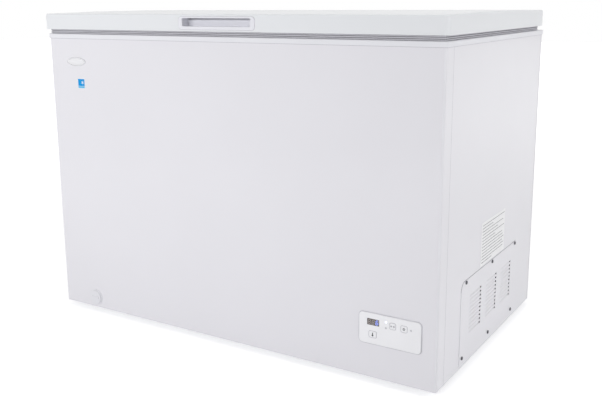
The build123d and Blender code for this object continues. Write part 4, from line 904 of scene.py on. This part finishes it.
def make_basket():
    """Basket of round coated wires, with a rail and four hooks."""
    low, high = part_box("storage_basket")
    left, right = low.x + RAIL_RADIUS, high.x - RAIL_RADIUS
    front, back = low.y + HOOK_REACH + RAIL_RADIUS, high.y - HOOK_REACH - RAIL_RADIUS
    floor, top = low.z + WIRE_RADIUS, high.z - BASKET_RIM - RAIL_RADIUS
    over = floor + 2 * WIRE_RADIUS
    rest = high.z - WIRE_RADIUS
    runs = []

    def add_loop(z, inset, radius):
        corners = [(left + inset, front + inset), (right - inset, front + inset)]
        corners += [(right - inset, back - inset), (left + inset, back - inset)]
        points = [Vector((x, y, z)) for x, y in corners]
        runs.append((rounded_run(points, RAIL_BEND - inset, True), radius, True))

    def add_wire(points, bend):
        path = rounded_run([Vector(point) for point in points], bend, False)
        runs.append((path, WIRE_RADIUS, False))

    add_loop(top, 0.0, RAIL_RADIUS)
    for z in ((floor + top) / 2, floor + RAIL_BEND):
        add_loop(z, 2 * WIRE_RADIUS, WIRE_RADIUS)
    for x in spaced(left, right, RAIL_BEND):
        add_wire([(x, front, top), (x, front, floor), (x, back, floor), (x, back, top)], WIRE_BEND)
    for y in spaced(front, back, RAIL_BEND):
        add_wire([(left, y, top), (left, y, over), (right, y, over), (right, y, top)], WIRE_BEND)
    for x in (low.x + HOOK_INSET, high.x - HOOK_INSET):
        for wall, tip in ((front, low.y), (back, high.y)):
            add_wire([(x, wall, top), (x, wall, rest), (x, tip, rest)], RAIL_RADIUS + WIRE_RADIUS)
    mesh = wire_mesh("basket_wires", runs)
    basket = piece("basket_wires", mesh, "storage_basket", [FINISHES["basket_coating"]])
    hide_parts("storage_basket")


# Stage

def make_floor():
    """Pale floor that keeps the object's shadow and is white to the camera away from it."""
    shape = bmesh.new()
    bmesh.ops.create_grid(shape, x_segments=1, y_segments=1, size=FLOOR_SIZE / 2)
    floor = bpy.data.objects.new("floor", to_mesh("floor", shape, False))
    bpy.context.scene.collection.objects.link(floor)
    ground = Surface("floor", {"Emission Color": WHITE, "Specular IOR Level": 0.1})
    ground.colour(ground.noise(0.6), scaled(FLOOR_COLOUR, 0.99), FLOOR_COLOUR)
    ground.roughness(ground.noise(0.2), 0.7, 0.8)
    away = ground.add("ShaderNodeVectorMath", {0: ground.place}, operation="LENGTH").outputs["Value"]
    glow = ground.ranged(away, FADE, (FLOOR_GLOW, FAR_GLOW))
    across = ground.add("ShaderNodeVectorMath", {0: ground.place, 1: PAPER_WAY}, operation="DOT_PRODUCT")
    paper = ground.ranged(
        across.outputs["Value"], PAPER_EDGE, (PAPER_END_GLOW, 1.0), interpolation_type="SMOOTHSTEP"
    )
    ways = ground.add("ShaderNodeLightPath").outputs
    mirrored = ground.combined("MULTIPLY", ways["Is Glossy Ray"], paper)
    direct = ground.combined("MAXIMUM", ways["Is Camera Ray"], mirrored)
    seen = ground.combined("MAXIMUM", ways["Is Transmission Ray"], direct)
    shown = ground.combined("MULTIPLY", glow, seen)
    ground.tree.links.new(shown, ground.shader.inputs["Emission Strength"])
    floor.data.materials.append(ground.material)


def make_world():
    """Even studio light; the camera, mirrors and glass see it as plain white."""
    world = bpy.data.worlds.new("studio")
    bpy.context.scene.world = world
    world.use_nodes = True
    tree = world.node_tree
    tree.nodes.clear()
    ways = add_node(tree, "ShaderNodeLightPath").outputs
    seen = ways["Is Camera Ray"]
    for ray in ("Is Glossy Ray", "Is Transmission Ray"):
        seen = add_node(tree, "ShaderNodeMath", {0: seen, 1: ways[ray]}, operation="MAXIMUM").outputs[0]
    inputs = {0: seen}
    for number, strength in enumerate((AMBIENT, 1.0), 1):
        light = add_node(tree, "ShaderNodeBackground", {"Color": WHITE, "Strength": strength})
        inputs[number] = light.outputs[0]
    mix = add_node(tree, "ShaderNodeMixShader", inputs)
    add_node(tree, "ShaderNodeOutputWorld", {"Surface": mix.outputs[0]})


def softbox(name, place, target, size, power, mirrored):
    """A large soft lamp that faces a target, with or without a mirror image."""
    data = bpy.data.lights.new(name, "AREA")
    data.shape = "RECTANGLE"
    data.size, data.size_y = size
    data.energy = power
    lamp = bpy.data.objects.new(name, data)
    bpy.context.scene.collection.objects.link(lamp)
    way = Vector(target) - Vector(place)
    lamp.matrix_world = Matrix.Translation(place) @ way.to_track_quat("-Z", "Y").to_matrix().to_4x4()
    lamp.visible_glossy = mirrored


def make_lamps():
    """Soft lamps: right side, above, and a low one in front that leaves no mirror image."""
    for name, values in LAMPS.items():
        softbox(name, *values)


def make_camera():
    """The photograph's camera."""
    data = bpy.data.cameras.new("camera")
    data.lens = CAMERA_LENS
    data.shift_x, data.shift_y = CAMERA_SHIFT
    camera = bpy.data.objects.new("camera", data)
    bpy.context.scene.collection.objects.link(camera)
    turn = Matrix.Rotation(math.radians(CAMERA_TURN), 4, "Z")
    dip = Matrix.Rotation(math.radians(90 - CAMERA_DIP), 4, "X")
    roll = Matrix.Rotation(math.radians(CAMERA_ROLL), 4, "Z")
    camera.matrix_world = Matrix.Translation(CAMERA_PLACE) @ turn @ dip @ roll
    bpy.context.scene.camera = camera


dress_nodes()
make_display()
make_bezel_shade_line()
make_button_frames()
make_vent_shade_line()
make_rim_shade_and_seams()
make_marks()
make_badge()
make_lenses()
make_front_sticker()
make_side_label()
make_basket()
make_floor()
make_world()
make_lamps()
make_camera()
bpy.context.scene.view_settings.view_transform = "Standard"
